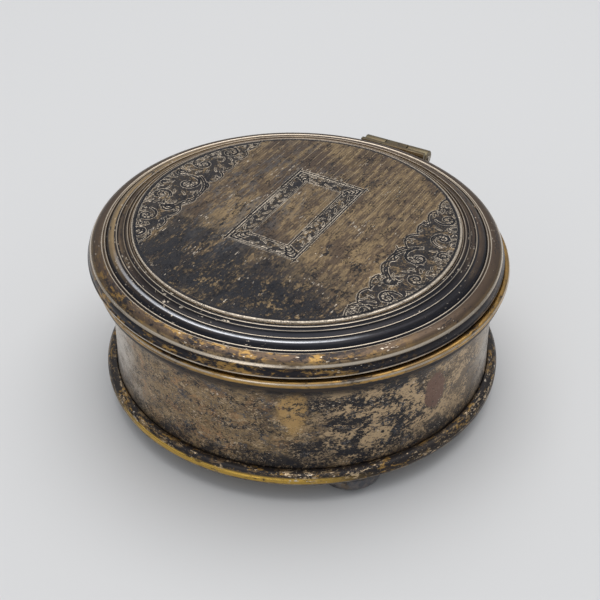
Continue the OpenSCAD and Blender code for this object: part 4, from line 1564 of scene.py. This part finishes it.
def soft_sky(g):
    """Even light from above that fades towards the horizon."""
    world = bpy.data.worlds.new("Soft sky")
    world.use_nodes = True
    net = Net(world.node_tree)
    way = net.node("ShaderNodeTexCoord").outputs["Generated"]
    up = net.node("ShaderNodeSeparateXYZ", {0: way}).outputs["Z"]
    strength = net.math("MULTIPLY", g.sky, net.level(net.step(up, 0.0, 0.5), g.horizon, 1.0))
    background = world.node_tree.nodes["Background"]
    net.put(background.inputs["Color"], (0.95, 0.97, 1.0, 1.0))
    net.put(background.inputs["Strength"], strength)
    return world


class PILLBOX_OT_stage(bpy.types.Operator):
    """Lay the floor and set the camera and lights"""
    bl_idname = "pillbox.stage"
    bl_label = "Stage"

    def execute(self, context):
        g = context.scene.pill_box_stage
        floor_mesh = bpy.data.meshes.new("floor")
        floor_mesh.from_pydata([(x * FLOOR_HALF, y * FLOOR_HALF, 0)
                                for x, y in ((-1, -1), (1, -1), (1, 1), (-1, 1))],
                               [], [(0, 1, 2, 3)])
        floor = add_object("floor", floor_mesh)
        coat = bpy.data.materials.new("Pale floor")
        coat.use_nodes = True
        shader = coat.node_tree.nodes["Principled BSDF"]
        shader.inputs["Base Color"].default_value = paint(g.floor)
        shader.inputs["Roughness"].default_value = 0.75
        floor_mesh.materials.append(coat)

        camera_data = bpy.data.cameras.new("camera")
        camera_data.sensor_width = SENSOR
        camera_data.lens = g.lens
        camera_data.clip_start = 0.01
        camera = bpy.data.objects.new("camera", camera_data)
        camera.location = g.eye
        camera.rotation_euler = (math.radians(90) - g.elevation, 0.0, g.azimuth)
        context.scene.collection.objects.link(camera)
        context.scene.camera = camera

        context.scene.world = soft_sky(g)
        for name, spot, power, size in (
                ("key", (-0.02, 0.12, 0.8), g.key, 0.85),
                ("fill", (0.05, -0.62, 0.30), g.fill, 0.3)):
            lamp = bpy.data.lights.new(name, "AREA")
            lamp.energy = power
            lamp.size = size
            lamp.color = (1.0, 0.985, 0.96)
            light = bpy.data.objects.new(name, lamp)
            light.location = spot
            aim = Vector((0, 0, 0.02)) - Vector(spot)
            light.rotation_euler = aim.to_track_quat("-Z", "Y").to_euler()
            context.scene.collection.objects.link(light)
        context.scene.view_settings.view_transform = "Standard"
        return {"FINISHED"}


STEPS = (PILLBOX_OT_stage, PILLBOX_OT_body, PILLBOX_OT_inside, PILLBOX_OT_feet,
         PILLBOX_OT_hinge, PILLBOX_OT_lid_mouldings, PILLBOX_OT_panel)
GROUPS = (("pill_box_shape", PillBoxShape), ("pill_box_engraving", PillBoxEngraving),
          ("pill_box_finish", PillBoxFinish), ("pill_box_stage", PillBoxStage))


class PILLBOX_PT_sidebar(bpy.types.Panel):
    """Lists the steps that build the box"""
    bl_idname = "PILLBOX_PT_sidebar"
    bl_label = "Pill Box"
    bl_space_type = "VIEW_3D"
    bl_region_type = "UI"
    bl_category = "Pill Box"

    def draw(self, context):
        """Shows the steps, then the sizes and colours."""
        for step in STEPS:
            self.layout.operator(step.bl_idname)
        for key, group in GROUPS:
            held = getattr(context.scene, key)
            box = self.layout.box()
            for prop in group.__annotations__:
                box.prop(held, prop)


def register():
    """Registers the property groups, the operators and the panel."""
    for key, group in GROUPS:
        bpy.utils.register_class(group)
        setattr(bpy.types.Scene, key, bpy.props.PointerProperty(type=group))
    for step in STEPS:
        bpy.utils.register_class(step)
    bpy.utils.register_class(PILLBOX_PT_sidebar)


def unregister():
    """Removes what register added."""
    bpy.utils.unregister_class(PILLBOX_PT_sidebar)
    for step in reversed(STEPS):
        bpy.utils.unregister_class(step)
    for key, group in reversed(GROUPS):
        delattr(bpy.types.Scene, key)
        bpy.utils.unregister_class(group)


def main():
    """Builds the whole box."""
    register()
    for step in STEPS:
        family, name = step.bl_idname.split(".")
        getattr(getattr(bpy.ops, family), name)()


if __name__ == "__main__":
    main()
